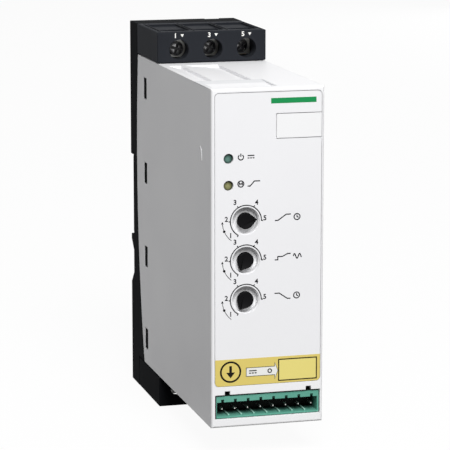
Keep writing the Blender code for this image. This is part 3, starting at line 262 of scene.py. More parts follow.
# %% Floor and backdrop
FLOOR_SIZE = 12.0
FLOOR_GAP = 0.1 * MILLIMETRE
FLOOR_OWN_WHITE = 0.94
FLOOR_SEEN = paint(250, 250, 250)
FLOOR_BOUNCED = paint(114, 114, 114)
BACKDROP_WHITE = paint(255, 255, 255)
AMBIENT = 0.29
DIRECT_RAYS = ("Is Camera Ray", "Is Glossy Ray", "Is Transmission Ray")


def seen_directly(graph):
    """1 for rays from the camera, a mirror or glass, and 0 for the light itself."""
    camera_ray, glossy_ray, glass_ray = [graph.node("ShaderNodeLightPath", output=name)
                                         for name in DIRECT_RAYS]
    return (camera_ray + glossy_ray + glass_ray).above(HALF_WAY)


def make_backdrop():
    graph = Graph(bpy.context.scene.world or bpy.data.worlds.new("backdrop"))
    bpy.context.scene.world = graph.owner
    background = graph.tree.nodes["Background"]
    background.inputs["Color"].default_value = BACKDROP_WHITE
    strength = seen_directly(graph) * (1.0 - AMBIENT) + AMBIENT
    graph.feed(background.inputs["Strength"], strength)


def make_floor():
    graph = Graph(bpy.data.materials.new("pale_floor"))
    direct = seen_directly(graph)
    color = graph.blend(direct, FLOOR_BOUNCED, FLOOR_SEEN)
    lit = graph.node("ShaderNodeBsdfDiffuse", sockets={"Color": color})
    white = graph.node("ShaderNodeEmission", sockets={"Strength": 1.0})
    factor_and_shaders = dict(enumerate((direct * FLOOR_OWN_WHITE, lit, white)))
    mixed = graph.node("ShaderNodeMixShader", sockets=factor_and_shaders)
    graph.feed(graph.tree.nodes["Material Output"].inputs["Surface"], mixed)
    shape = bmesh.new()
    bmesh.ops.create_grid(shape, x_segments=1, y_segments=1, size=FLOOR_SIZE / 2)
    bmesh.ops.translate(shape, vec=(0, 0, floor_z - FLOOR_GAP), verts=shape.verts)
    mesh = bpy.data.meshes.new("floor")
    shape.to_mesh(mesh)
    shape.free()
    mesh.materials.append(graph.owner)
    link(bpy.data.objects.new("floor", mesh))


make_backdrop()
make_floor()
print("floor", FLOOR_SIZE, "m wide")

# %% [markdown]
# The photograph has bright front and top faces and a grey left side. A sun lamp
# would be simpler, but its shadows are hard, and a studio's are soft. One large
# softbox high in front gives both bright faces. It stands a little to the left,
# which puts the shadow inside each dial at its upper left. A weak one behind, low
# and to the right, gives the black block's top its sheen and shows the back.

# %% Studio lamps
LAMP_DISTANCE = 1.7
LAMP_SIZE = 0.8
bpy.context.scene.view_settings.view_transform = "Standard"


def softbox(name, left_deg, rise_deg, watts):
    """A square lamp that faces the object."""
    data = bpy.data.lights.new(name, "AREA")
    data.shape = "SQUARE"
    data.size = LAMP_SIZE
    data.energy = watts
    lamp = link(bpy.data.objects.new(name, data))
    towards = direction(left_deg, rise_deg)
    lamp.location = CAMERA_AIM + towards * LAMP_DISTANCE
    lamp.rotation_euler = towards.to_track_quat("Z", "Y").to_euler()
    print(f"{name}: {watts} W at {LAMP_DISTANCE} m")


softbox("front_softbox", left_deg=5.0, rise_deg=42.5, watts=30.2)
softbox("rear_softbox", left_deg=218.0, rise_deg=6.0, watts=6.0)

# %% [markdown]
# Most of the surface is moulded plastic. Moulds are etched, so the plastic has a
# grain of a few tenths of a millimetre, and its gloss drifts slightly from place to
# place. A picture of such a surface would repeat and blur close up, so noise makes
# both. A mould also leaves no sharp edges. Bevels on every solid would take many
# faces, so the Bevel node rounds the edges in the shading, which catches a fine
# highlight along each one.

# %% Recipe for moulded plastic
BEVEL_SAMPLES = 4
BUMP_STRENGTH = 0.6
DRIFT_CELL = 30 * MILLIMETRE
GLOSS_DRIFT = 0.1
GRAIN_CELL = 0.4 * MILLIMETRE
GRAIN_DEPTH = 0.01 * MILLIMETRE
MOULD_EDGE = 0.25 * MILLIMETRE


def principled(name, color, roughness, metallic=0.0, specular=0.5):
    """A new material with its uniform values set on the shader itself."""
    graph = Graph(bpy.data.materials.new(name))
    graph.shader = graph.tree.nodes["Principled BSDF"]
    graph.shader.inputs["Base Color"].default_value = color
    graph.shader.inputs["Roughness"].default_value = roughness
    graph.shader.inputs["Metallic"].default_value = metallic
    graph.shader.inputs["Specular IOR Level"].default_value = specular
    return graph


def grain(graph, height, depth, edge):
    """Lift the surface by a height from 0 to 1, on edges rounded by the given radius."""
    rounded = graph.node("ShaderNodeBevel", {"samples": BEVEL_SAMPLES}, {"Radius": edge})
    bump = graph.node("ShaderNodeBump", sockets={"Strength": BUMP_STRENGTH, "Distance": depth,
                                                 "Height": height, "Normal": rounded})
    graph.feed(graph.shader.inputs["Normal"], bump)


def moulded(name, color, shade, roughness, specular,
            cell=GRAIN_CELL, depth=GRAIN_DEPTH, edge=MOULD_EDGE):
    """Etched plastic: colour and gloss drift over wide patches, the grain is a bump."""
    graph = principled(name, color, roughness, specular=specular)
    drift = graph.noise(DRIFT_CELL)
    graph.feed(graph.shader.inputs["Base Color"], graph.blend(drift, color, shade))
    graph.feed(graph.shader.inputs["Roughness"], drift * GLOSS_DRIFT + (roughness - GLOSS_DRIFT / 2))
    grain(graph, graph.noise(cell), depth, edge)
    return graph.owner


black_plastic = moulded("black_moulding", paint(43, 45, 50), paint(37, 39, 43),
                        roughness=0.6, specular=0.02)
print(black_plastic.name, "has", len(black_plastic.node_tree.nodes), "nodes")

# %% [markdown]
# The other plastics differ in colour, gloss and the size of their grain. The tray
# and the terminal blocks are dull black. The tray and the block on the load side
# get a darker copy of that black, which is painted shade, since the lower end of
# the device lies in deep shade and both blocks are of one plastic. The knobs are
# the deepest black and have the finest grain, and the foil on the front is smooth.
# They could each have a graph of their own, but one recipe with other numbers
# keeps them alike where real mouldings are alike. A finish goes on all the nodes
# whose names start the same.

# %% Plastics and what they are on
FINE_EDGE = 0.1 * MILLIMETRE
# Painted shade: a darker copy of the black moulding.
shaded_black_plastic = moulded("shaded_black_moulding", paint(25, 26, 28), paint(20, 21, 23),
                       roughness=0.6, specular=0.004)
knob_plastic = moulded("knob_moulding", paint(17, 17, 19), paint(13, 13, 15),
                       roughness=0.5, specular=0.06, cell=0.3 * MILLIMETRE)
relay_plastic = moulded("relay_moulding", paint(62, 88, 140), paint(54, 80, 130),
                        roughness=0.4, specular=0.4)
resin = moulded("cast_resin", paint(48, 48, 48), paint(38, 38, 38),
                roughness=0.6, specular=0.3, cell=0.9 * MILLIMETRE, depth=0.03 * MILLIMETRE)
overlay_foil = moulded("overlay_film", paint(240, 240, 242), paint(237, 237, 239),
                       roughness=0.4, specular=0.3, cell=1.2 * MILLIMETRE,
                       depth=0.004 * MILLIMETRE, edge=FINE_EDGE)
tag_card = moulded("tag_board", paint(243, 243, 244), paint(240, 240, 241),
                   roughness=0.65, specular=0.15, cell=0.6 * MILLIMETRE,
                   depth=0.006 * MILLIMETRE, edge=FINE_EDGE)


def dress(finish, *names):
    """Give one finish to the nodes of the frame whose names start with these words."""
    chosen = [node for name, node in nodes.items() if name.startswith(names)]
    for node in chosen:
        for slot in node.material_slots:
            slot.material = finish
    print(finish.name, "on", len(chosen), "nodes")


dress(black_plastic, "line_terminal_block", "rail_clip")
# The tray and the load-side block take the darker copy, as painted shade.
dress(shaded_black_plastic, "base", "load_terminal_block")
dress(knob_plastic, "dial_")
dress(overlay_foil, "front_overlay")
dress(tag_card, "marker_tag")
dress(relay_plastic, "bypass_relay", "capacitor")
dress(resin, "thyristor", "potentiometer")

# %% [markdown]
# The white cover has a strip on its top and bottom near the front where fingers
# pull it off. It is textured more coarsely and is duller than the smooth moulding
# around it, and its colour is painted a little greyer as painted shade. The strip
# could be a piece of its own, but it has no height that the eye would see. So the
# finish finds it by its place: a band behind the front edge, from the left side to
# just past the middle of the width.

# %% The white cover and its finger strips
STRIP_FRONT = 5 * MILLIMETRE
STRIP_REAR = 25 * MILLIMETRE
STRIP_RIGHT_X = 5 * MILLIMETRE
STRIP_SKIN = 0.4 * MILLIMETRE
STRIP_DULLNESS = 0.2
RIDGE_CELL = 0.6 * MILLIMETRE
RIDGE_STRETCH = (6.0, 1.0, 1.0)
COVER_ROUGHNESS = 0.45
COVER_EDGE = 0.3 * MILLIMETRE


def make_cover_finish():
    # The third colour is the strip's painted shade.
    smooth, shade, strip_shade = paint(245, 245, 246), paint(241, 241, 243), paint(226, 227, 229)
    graph = principled("white_moulding", smooth, COVER_ROUGHNESS, specular=0.18)
    y, z = graph.axis("Y"), graph.axis("Z")
    behind_front = y.above(front_y + STRIP_FRONT) * (1.0 - y.above(front_y + STRIP_REAR))
    inside = behind_front * (1.0 - graph.axis("X").above(STRIP_RIGHT_X))
    ends = z.above(cover_high.z - STRIP_SKIN) + (1.0 - z.above(cover_low.z + STRIP_SKIN))
    strip = inside * ends
    drift = graph.noise(DRIFT_CELL)
    # Painted shade: the strip takes the grey colour.
    color = graph.blend(strip, graph.blend(drift, smooth, shade), strip_shade)
    dullness = drift * GLOSS_DRIFT + strip * STRIP_DULLNESS + (COVER_ROUGHNESS - GLOSS_DRIFT / 2)
    graph.feed(graph.shader.inputs["Base Color"], color)
    graph.feed(graph.shader.inputs["Roughness"], dullness)
    ridges = graph.noise(RIDGE_CELL, RIDGE_STRETCH) * strip
    grain(graph, graph.noise(GRAIN_CELL) + ridges, GRAIN_DEPTH, COVER_EDGE)
    return graph.owner


white_moulding = make_cover_finish()
dress(white_moulding, "cover")

# %% [markdown]
# The control socket is a green shroud. Its inside is in deep shade, and what light
# is left falls off with depth. More lamps would be needed to show the same in the
# light alone, so the green is painted darker towards the back, as painted shade.
# The thin ribs on its floor keep the plug's poles apart. Their tops are painted
# paler, a painted highlight. Along its top and left edge the shroud leaves a
# hairline gap to the cover, and a dark line painted on the shroud's edge there is
# the gap's painted shadow.

# %% The green socket
SHADE_START = 0.8 * MILLIMETRE
SHADE_END = 8 * MILLIMETRE
# Width of the painted shadow line along the gap.
GAP_SHADOW_WIDTH = 0.35 * MILLIMETRE
RIB_SIDE_GAP = 0.66 * MILLIMETRE
RIB_START = 0.3 * MILLIMETRE
RIB_FOOT = 0.9 * MILLIMETRE
RIB_TOP = 1.224 * MILLIMETRE
# Share of the painted highlight on the rib tops.
RIB_HIGHLIGHT_SHARE = 0.7
SOCKET_CELL = 10 * MILLIMETRE
SOCKET_ROUGHNESS = 0.5
SOCKET_EDGE = 0.15 * MILLIMETRE


def make_socket_finish():
    green, shade = paint(110, 175, 157), paint(84, 154, 135)
    # A painted highlight for the rib tops, and painted shade for the back and the gap.
    rib_highlight, shade_green = paint(176, 222, 208), paint(14, 20, 18)
    graph = principled("green_moulding", green, SOCKET_ROUGHNESS, specular=0.15)
    low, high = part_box("control_header")
    x, y, z = (graph.axis(letter) for letter in "XYZ")
    depth = graph.fade(y, low.y + SHADE_START, low.y + SHADE_END)
    # Painted shadow of the hairline gap along the top and left edge.
    gap_shadow = (z.above(high.z - GAP_SHADOW_WIDTH) + 1.0 - x.above(low.x + GAP_SHADOW_WIDTH)).above(HALF_WAY)
    between_sides = x.above(low.x + RIB_SIDE_GAP) * (1.0 - x.above(high.x - RIB_SIDE_GAP))
    rib_height = z.above(low.z + RIB_FOOT) * (1.0 - z.above(low.z + RIB_TOP))
    # The rib tops take a painted highlight.
    ribs = between_sides * rib_height * y.above(low.y + RIB_START)
    drift = graph.noise(SOCKET_CELL)
    lit = graph.blend(ribs * RIB_HIGHLIGHT_SHARE, graph.blend(drift, green, shade), rib_highlight)
    # Painted shade towards the back and in the gap line.
    color = graph.blend(gap_shadow, graph.blend(depth, lit, shade_green), shade_green)
    dullness = drift * GLOSS_DRIFT + (SOCKET_ROUGHNESS - GLOSS_DRIFT / 2)
    graph.feed(graph.shader.inputs["Base Color"], color)
    graph.feed(graph.shader.inputs["Roughness"], dullness)
    grain(graph, graph.noise(GRAIN_CELL), GRAIN_DEPTH, SOCKET_EDGE)
    return graph.owner


dress(make_socket_finish(), "control_header")

# %% [markdown]
# The contacts, the pins, the spring and the heatsink are metal. Metal shows the
# light around it, so its finish lies in the roughness more than in the colour.
# Rolled and drawn parts have fine lines along their length. Each line could be
# engraved, but noise that is stretched along the part gives the same sheen.

# %% Metals
METAL_CELL = 4 * MILLIMETRE
METAL_DRIFT = 0.2
METAL_GRAIN = 0.006 * MILLIMETRE


def metal(name, color, shade, roughness, stretch):
    graph = principled(name, color, roughness, metallic=1.0)
    lines = graph.noise(GRAIN_CELL, stretch)
    graph.feed(graph.shader.inputs["Base Color"], graph.blend(graph.noise(METAL_CELL), color, shade))
    graph.feed(graph.shader.inputs["Roughness"], lines * METAL_DRIFT + (roughness - METAL_DRIFT / 2))
    grain(graph, lines, METAL_GRAIN, FINE_EDGE)
    return graph.owner


plated_steel = metal("plated_steel", paint(196, 196, 192), paint(176, 176, 172),
                     roughness=0.34, stretch=(1.0, 1.0, 1.0))
pin_metal = metal("tinned_pin", paint(214, 214, 210), paint(198, 198, 194),
                  roughness=0.3, stretch=(1.0, 8.0, 1.0))
copper_bar = metal("tinned_copper", paint(214, 196, 168), paint(202, 178, 146),
                   roughness=0.36, stretch=(1.0, 1.0, 8.0))
spring_steel = metal("spring_wire", paint(150, 150, 152), paint(132, 132, 134),
                     roughness=0.35, stretch=(4.0, 4.0, 1.0))
aluminium = metal("drawn_aluminium", paint(205, 206, 208), paint(192, 193, 196),
                  roughness=0.42, stretch=(1.0, 1.0, 12.0))
dress(plated_steel, "line_clamp", "load_clamp")
dress(pin_metal, "header_pin")
dress(copper_bar, "line_contact", "load_contact")
dress(spring_steel, "clip_spring")
dress(aluminium, "heatsink")

# %% [markdown]
# The circuit boards inside are green lacquer over copper tracks, on a cloth of glass
# threads. The tracks could be modelled one by one, but a board is seen only through
# narrow openings. So a brick pattern stands for the tracks, and two crossed noises
# for the weave.

# %% Circuit boards
TRACK_SCALE = 260.0
TRACK_WIDTH = 0.04
ROW_SHIFT = 0.5
WEAVE_CELL = 0.5 * MILLIMETRE
WEAVE_ACROSS = (4.0, 1.0, 1.0)
WEAVE_UP = (1.0, 1.0, 4.0)
BOARD_ROUGHNESS = 0.4


def make_board_finish():
    graph = principled("board_lacquer", paint(38, 92, 56), BOARD_ROUGHNESS)
    tracks = graph.node("ShaderNodeTexBrick", {"offset": ROW_SHIFT},
                        {"Vector": graph.place(), "Scale": TRACK_SCALE, "Mortar Size": TRACK_WIDTH,
                         "Color1": paint(34, 84, 52), "Color2": paint(40, 96, 58),
                         "Mortar": paint(66, 128, 84)})
    dullness = graph.noise(METAL_CELL) * METAL_DRIFT + (BOARD_ROUGHNESS - METAL_DRIFT / 2)
    graph.feed(graph.shader.inputs["Base Color"], tracks)
    graph.feed(graph.shader.inputs["Roughness"], dullness)
    weave = graph.noise(WEAVE_CELL, WEAVE_ACROSS) + graph.noise(WEAVE_CELL, WEAVE_UP)
    grain(graph, weave, GRAIN_DEPTH, FINE_EDGE)
    return graph.owner


dress(make_board_finish(), "control_board", "power_board", "link_board")

# %% [markdown]
# Some solids of the frame are plainer than the real parts, and finer pieces take
# their places. Every new piece leaves the workshop the same way, so one function
# does it. The mesh is welded, its faces are turned outwards, and it is tied to the
# body that it moves with. A piece that stands in for a node hides that node.

# %% Handing over a piece
WELD = 0.000001
SHARP_DEG = 35.0


def piece(name, shape, finish, slot, body, *replaced):
    bmesh.ops.remove_doubles(shape, verts=shape.verts, dist=WELD)
    bmesh.ops.recalc_face_normals(shape, faces=shape.faces)
    mesh = bpy.data.meshes.new(name)
    shape.to_mesh(mesh)
    shape.free()
    mesh.shade_smooth()
    mesh.set_sharp_from_angle(angle=math.radians(SHARP_DEG))
    mesh.materials.append(finish)
    item = link(bpy.data.objects.new(name, mesh))
    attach(item, body)
    if replaced:
        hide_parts(*replaced)
    return item


print("edges sharper than", SHARP_DEG, "degrees stay crisp")

# %% [markdown]
# Screws, lenses and pins are lathe shapes: a profile that is spun about an axis.
# Stacked cylinders would do too, but they leave hidden faces inside each other.
# One spun profile is closed in one go. The axis is y, because all of these parts
# point out of the front.

# %% Lathe shapes and arcs
FULL_TURN_DEG = 360
QUARTER_TURN_DEG = 90


def turned(profile, segments):
    """A lathe shape around y: (radius, y) pairs from the front centre to the rear centre."""
    shape = bmesh.new()
    verts = [shape.verts.new((radius, y, 0.0)) for radius, y in profile]
    edges = [shape.edges.new(pair) for pair in zip(verts, verts[1:])]
    bmesh.ops.spin(shape, geom=verts + edges, cent=(0, 0, 0), axis=(0, 1, 0), angle=math.tau,
                   steps=segments, use_merge=True)
    bmesh.ops.remove_doubles(shape, verts=shape.verts, dist=WELD)
    return shape


def turn(shape, angle_deg, axis):
    """Turn a shape about an axis through the origin."""
    matrix = Matrix.Rotation(math.radians(angle_deg), 3, axis)
    bmesh.ops.rotate(shape, matrix=matrix, verts=shape.verts)


def middle_of(low, high):
    """The x and z of the middle of a box."""
    return (low.x + high.x) / 2, (low.z + high.z) / 2


def arc(radius, start_deg, end_deg, steps, centre=(0.0, 0.0)):
    """Points along an arc, both ends included."""
    span = end_deg - start_deg
    angles = [math.radians(start_deg + span * step / steps) for step in range(steps + 1)]
    return [(centre[0] + radius * math.cos(angle), centre[1] + radius * math.sin(angle))
            for angle in angles]


test_tube = turned([(0, 0), (1, 0), (1, 1), (0, 1)], 32)
print("a full turn of 32 steps has", len(test_tube.faces), "faces")
test_tube.free()

# %% [markdown]
# The terminal screws clamp the wires. They sit deep in their holes, so only their
# domed heads show, with a cross for a screwdriver. The thread could be a true
# helix, but inside a block it takes many faces that nobody sees. Rings with zigzag
# flanks of the right pitch look the same and spin in one go.

# %% Shape of the screws
HEAD_RADIUS = 3.0 * MILLIMETRE
HEAD_HEIGHT = 2.6 * MILLIMETRE
HEAD_DOME = 0.7 * MILLIMETRE
HEAD_RIM = HEAD_DOME * 1.2
HEAD_SIDES = 32
DOME_SHARES = (0, 0.3, 0.55, 0.75, 0.9, 0.97)
SHANK_RADIUS = 1.72 * MILLIMETRE
THREAD_PITCH = 0.6 * MILLIMETRE
THREAD_DEPTH = 0.3 * MILLIMETRE
THREAD_SIDES = 20


def head_profile():
    """From the middle of the domed face round the rim to the middle of the flat back."""
    dome = [(HEAD_RADIUS * share, HEAD_DOME * share ** 2) for share in DOME_SHARES]
    return dome + [(HEAD_RADIUS, HEAD_RIM), (HEAD_RADIUS, HEAD_HEIGHT), (0, HEAD_HEIGHT)]


def thread_profile(length):
    """Zigzag flanks from the back of the head to a chamfered end."""
    turns = int((length - HEAD_HEIGHT) / THREAD_PITCH) - 1
    root = SHANK_RADIUS - THREAD_DEPTH
    flanks = []
    for index in range(turns):
        start = HEAD_HEIGHT + THREAD_PITCH * index
        flanks += [(root, start), (SHANK_RADIUS, start + THREAD_PITCH / 2)]
    return [(0, HEAD_HEIGHT)] + flanks + [(root, length - THREAD_PITCH), (0, length)]


print("the head's profile has", len(head_profile()), "points")

# %% [markdown]
# The cross is pressed into the head. It could be drawn with extra faces in the
# profile, but a cross doesn't turn with the lathe. A Boolean cuts it with two bars
# instead. One head is cut and then copied, because a Boolean is the slowest step.

# %% Cut the cross
CROSS_WIDTH = 1.15 * MILLIMETRE
CROSS_LENGTH = 4.9 * MILLIMETRE
CROSS_DEPTH = 1.5 * MILLIMETRE
CROSS_ARMS = ((CROSS_LENGTH, CROSS_WIDTH), (CROSS_WIDTH, CROSS_LENGTH))


def to_object(name, shape):
    mesh = bpy.data.meshes.new(name)
    bmesh.ops.recalc_face_normals(shape, faces=shape.faces)
    shape.to_mesh(mesh)
    shape.free()
    return link(bpy.data.objects.new(name, mesh))


def finished_mesh(item):
    """The mesh of an object with its modifiers or its lettering worked out."""
    bpy.context.view_layer.update()
    graph = bpy.context.evaluated_depsgraph_get()
    return bpy.data.meshes.new_from_object(item.evaluated_get(graph))


def crossed_head():
    """The head with its cross cut out, as a mesh around the origin."""
    head = to_object("head_blank", turned(head_profile(), HEAD_SIDES))
    cutters = []
    for across, up in CROSS_ARMS:
        arm = bmesh.new()
        bmesh.ops.create_cube(arm, size=1.0)
        bmesh.ops.scale(arm, vec=(across, 2 * CROSS_DEPTH, up), verts=arm.verts)
        cutters.append(to_object("cross_arm", arm))
        cutting = head.modifiers.new("cross", "BOOLEAN")
        cutting.solver = "EXACT"
        cutting.object = cutters[-1]
    mesh = finished_mesh(head)
    for item in [head] + cutters:
        bpy.data.objects.remove(item, do_unlink=True)
    return mesh


head_mesh = crossed_head()
print("head has", len(head_mesh.polygons), "faces")

# %% [markdown]
# The steel of the screws is blackened, and tools have worn it bright in cloudy
# patches. The cross is painted dark, as painted shade in its recess. Two materials
# on one head could show that, but the wear is cloudy. So one finish is painted dark
# from just behind the face to the foot of the cross.
# The screws stand at different depths, so each has a finish for its own face.

# %% Finish and place the screws
CROSS_FOOT = HEAD_HEIGHT * 0.9
# How dark the painted shade in the cross is.
CROSS_SHADE_SHARE = 0.9
WEAR_CELL = 1.2 * MILLIMETRE
SCREW_ROUGHNESS = 0.3
SCREW_TURN_DEG = 17


def screw_finish(name, face_y):
    """Worn steel whose cross is painted dark, a painted shade."""
    graph = principled(name, paint(150, 150, 150), SCREW_ROUGHNESS, metallic=1.0)
    y = graph.axis("Y")
    # Painted shade in the cross, from just behind the face to its foot.
    cross = y.above(face_y + HEAD_DOME) * (1.0 - y.above(face_y + CROSS_FOOT))
    worn = graph.blend(graph.noise(WEAR_CELL), paint(160, 160, 160), paint(84, 84, 86))
    color = graph.blend(cross * CROSS_SHADE_SHARE, worn, paint(14, 14, 15))
    lines = graph.noise(GRAIN_CELL)
    graph.feed(graph.shader.inputs["Base Color"], color)
    graph.feed(graph.shader.inputs["Roughness"], lines * METAL_DRIFT + (SCREW_ROUGHNESS - METAL_DRIFT / 2))
    grain(graph, lines, METAL_GRAIN, FINE_EDGE)
    return graph.owner


for end in ("line", "load"):
    for index in (1, 2, 3):
        name = f"{end}_screw_{index}"
        low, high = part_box(name)
        middle_x, middle_z = middle_of(low, high)
        shape = turned(thread_profile(high.y - low.y), THREAD_SIDES)
        shape.from_mesh(head_mesh)
        turn(shape, SCREW_TURN_DEG * index, "Y")
        bmesh.ops.translate(shape, vec=(middle_x, low.y, middle_z), verts=shape.verts)
        print(name, "face at y", round(low.y, 4))
        finish = screw_finish(name + "_steel", low.y)
        piece(f"{end}_cross_screw_{index}", shape, finish, "plated_steel", name, name)

# %% [markdown]
# Each knob is a disc drawn out to a small tip, which points at the scale. A disc
# and a wedge could be joined, but the seam between them would show. Instead the
# outline is drawn in one go, from two circles and their common tangents. The rim
# of the face is rounded and the face is sunk a little, as on moulded knobs, so that
# the edge catches light.

# %% Head of a knob
KNOB_RADIUS = 3.1 * MILLIMETRE
KNOB_REACH = 4.3 * MILLIMETRE
KNOB_TIP_RADIUS = 0.4 * MILLIMETRE
KNOB_THICKNESS = 1.6 * MILLIMETRE
KNOB_ROUNDING = 0.3 * MILLIMETRE
KNOB_RIM = 0.35 * MILLIMETRE
KNOB_SINK = 0.15 * MILLIMETRE
DISC_STEPS = 40
TIP_STEPS = 6
ROUNDING_STEPS = 3


def knob_outline():
    """A disc and a small tip circle joined by their common tangents."""
    tip_centre = KNOB_REACH - KNOB_TIP_RADIUS
    tangent_deg = math.degrees(math.acos((KNOB_RADIUS - KNOB_TIP_RADIUS) / tip_centre))
    disc = arc(KNOB_RADIUS, tangent_deg, FULL_TURN_DEG - tangent_deg, DISC_STEPS)
    tip = arc(KNOB_TIP_RADIUS, -tangent_deg, tangent_deg, TIP_STEPS, (tip_centre, 0.0))
    return disc + tip


def add_knob_head(shape):
    face = shape.faces.new([shape.verts.new((x, 0.0, z)) for x, z in knob_outline()])
    grown = bmesh.ops.extrude_face_region(shape, geom=[face])["geom"]
    back = [item for item in grown if isinstance(item, bmesh.types.BMVert)]
    bmesh.ops.translate(shape, vec=(0, KNOB_THICKNESS, 0), verts=back)
    rim = [edge for edge in shape.edges if all(vert.co.y < WELD for vert in edge.verts)]
    bmesh.ops.bevel(shape, geom=rim, offset=KNOB_ROUNDING, offset_type="OFFSET", affect="EDGES",
                    segments=ROUNDING_STEPS, profile=0.5, clamp_overlap=True, material=-1)
    front = [item for item in shape.faces if all(vert.co.y < WELD for vert in item.verts)]
    bmesh.ops.inset_region(shape, faces=front, thickness=KNOB_RIM, use_even_offset=True)
    sunk = {vert for item in front for vert in item.verts}
    bmesh.ops.translate(shape, vec=(0, KNOB_SINK, 0), verts=list(sunk))


print("a knob's outline has", len(knob_outline()), "corners")

# %% [markdown]
# A knob turns on the axis of its potentiometer, so the potentiometer's box gives the
# axis. The knob's own box would not, because the tip makes it longer on one side.
# The photograph shows where each pointer stands: the first at the end of its scale,
# and the other two at the start.

# %% Place the knobs
STEM_RADIUS = 2.2 * MILLIMETRE
STEM_START = KNOB_THICKNESS / 2
STEM_SIDES = 24
POINTER_DEG = (5.0, 240.0, 240.0)
for index, pointer_deg in enumerate(POINTER_DEG, start=1):
    name = f"dial_{index}"
    low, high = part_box(name)
    axis_x, axis_z = middle_of(*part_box(f"potentiometer_{index}"))
    length = high.y - low.y
    stem = [(0, STEM_START), (STEM_RADIUS, STEM_START), (STEM_RADIUS, length), (0, length)]
    shape = turned(stem, STEM_SIDES)
    add_knob_head(shape)
    turn(shape, -pointer_deg, "Y")
    bmesh.ops.translate(shape, vec=(axis_x, low.y, axis_z), verts=shape.verts)
    knob = piece(f"pointer_knob_{index}", shape, knob_plastic, "knob_plastic", name, name)
    print(knob.name, "has", len(knob.data.polygons), "faces")

# %% [markdown]
# The two lamps on the panel are the ends of light guides. Glass with a lamp behind
# it could show them, but an unlit lamp is almost opaque. So they are plain glossy
# plastic, deep in colour, with painted light in that colour: a bright core, which
# is a painted glow a little left of and below the middle, and a darker rim, which
# is painted shade where the edge of the hole shades the sunken end.

# %% Finish of the lamps
LENS_RADIUS = 1.75 * MILLIMETRE
# Size and place of the painted glow in the core.
PAINTED_GLOW_RADIUS = LENS_RADIUS * 0.3
PAINTED_GLOW_ASIDE = 0.15 * MILLIMETRE
PAINTED_GLOW_DROP = 0.3 * MILLIMETRE
GLOW_CELL = 0.8 * MILLIMETRE
GLOW_DEPTH = 0.6
LENS_ROUGHNESS = 0.15


def lens_finish(name, middle, rim, axis_x, axis_z):
    graph = principled(name, middle, LENS_ROUGHNESS, specular=0.15)
    across = graph.axis("X") - (axis_x - PAINTED_GLOW_ASIDE)
    up = graph.axis("Z") - (axis_z - PAINTED_GLOW_DROP)
    radius = (across * across + up * up).math("SQRT")
    glow = graph.noise(GLOW_CELL)
    core = graph.blend(glow * GLOW_DEPTH, middle, rim)
    # Painted glow in the middle, painted shade at the rim.
    color = graph.blend(graph.fade(radius, PAINTED_GLOW_RADIUS, LENS_RADIUS), core, rim)
    graph.feed(graph.shader.inputs["Base Color"], color)
    graph.feed(graph.shader.inputs["Roughness"], glow * GLOSS_DRIFT + (LENS_ROUGHNESS - GLOSS_DRIFT / 2))
    return graph.owner


print("core of a lamp:", round(PAINTED_GLOW_RADIUS / MILLIMETRE, 2), "mm")

# %% [markdown]
# A guide is a round rod with a collar that rests behind the panel. Its end is domed
# and sunk a little below the panel. A sphere could make the dome, but the profile
# of the rod takes it in with a few more points, and then the whole guide is closed.

# %% Light guides
LENS_DOME = 0.35 * MILLIMETRE
LENS_SINK = 0.45 * MILLIMETRE
LENS_SIDES = 32
DOME_STEPS = 6
COLLAR_RADIUS = 2.5 * MILLIMETRE
COLLAR_START = 2.3 * MILLIMETRE
COLLAR_END = COLLAR_START + 1.2 * MILLIMETRE
# Each guide: its node, its slot, its painted glow colour and its painted rim shade.
GUIDES = (("power_light_pipe", "green_light", paint(108, 150, 138), paint(22, 40, 36)),
          ("run_light_pipe", "yellow_light", paint(166, 166, 116), paint(40, 40, 22)))


def guide_profile(length):
    """The dome from its middle outwards, then the rod and its collar."""
    points = arc(1.0, QUARTER_TURN_DEG, 0, DOME_STEPS)
    dome = [(LENS_RADIUS * aside, LENS_SINK + LENS_DOME * (1 - ahead)) for aside, ahead in points]
    collar = [(LENS_RADIUS, COLLAR_START), (COLLAR_RADIUS, COLLAR_START),
              (COLLAR_RADIUS, COLLAR_END), (LENS_RADIUS, COLLAR_END)]
    return [(0, LENS_SINK)] + dome[1:] + collar + [(LENS_RADIUS, length), (0, length)]


for name, slot, middle, rim in GUIDES:
    low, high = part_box(name)
    middle_x, middle_z = middle_of(low, high)
    shape = turned(guide_profile(high.y - front_y), LENS_SIDES)
    bmesh.ops.translate(shape, vec=(middle_x, front_y, middle_z), verts=shape.verts)
    finish = lens_finish(name + "_lens", middle, rim, middle_x, middle_z)
    guide = piece(name + "_domed", shape, finish, slot, "housing", name)
    print(guide.name, "has", len(guide.data.polygons), "faces")

# %% [markdown]
# The pins of the control socket have tapered ends, so that a plug finds them. A cube
# with a bevelled end would do. A lathe shape of four steps is quicker, since it is a
# square bar once it is turned by an eighth, and both its tapers are in the profile.

# %% Socket pins
PIN_SIDES = 4
PIN_TURN_DEG = 45
PIN_TAPER = 0.5
PIN_TAPER_LENGTH = 0.6 * MILLIMETRE
pin_names = sorted(name for name in nodes if name.startswith("header_pin_"))
for name in pin_names:
    low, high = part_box(name)
    middle_x, middle_z = middle_of(low, high)
    corner, length = (high.x - low.x) / math.sqrt(2), high.y - low.y
    tip = corner * PIN_TAPER
    shape = turned([(0, 0), (tip, 0), (corner, PIN_TAPER_LENGTH),
                    (corner, length - PIN_TAPER_LENGTH), (tip, length), (0, length)], PIN_SIDES)
    turn(shape, PIN_TURN_DEG, "Y")
    bmesh.ops.translate(shape, vec=(middle_x, low.y, middle_z), verts=shape.verts)
    piece(name + "_tapered", shape, pin_metal, "plated_steel", "housing", name)
print(len(pin_names), "pins, each", round(length / MILLIMETRE, 1), "mm long")

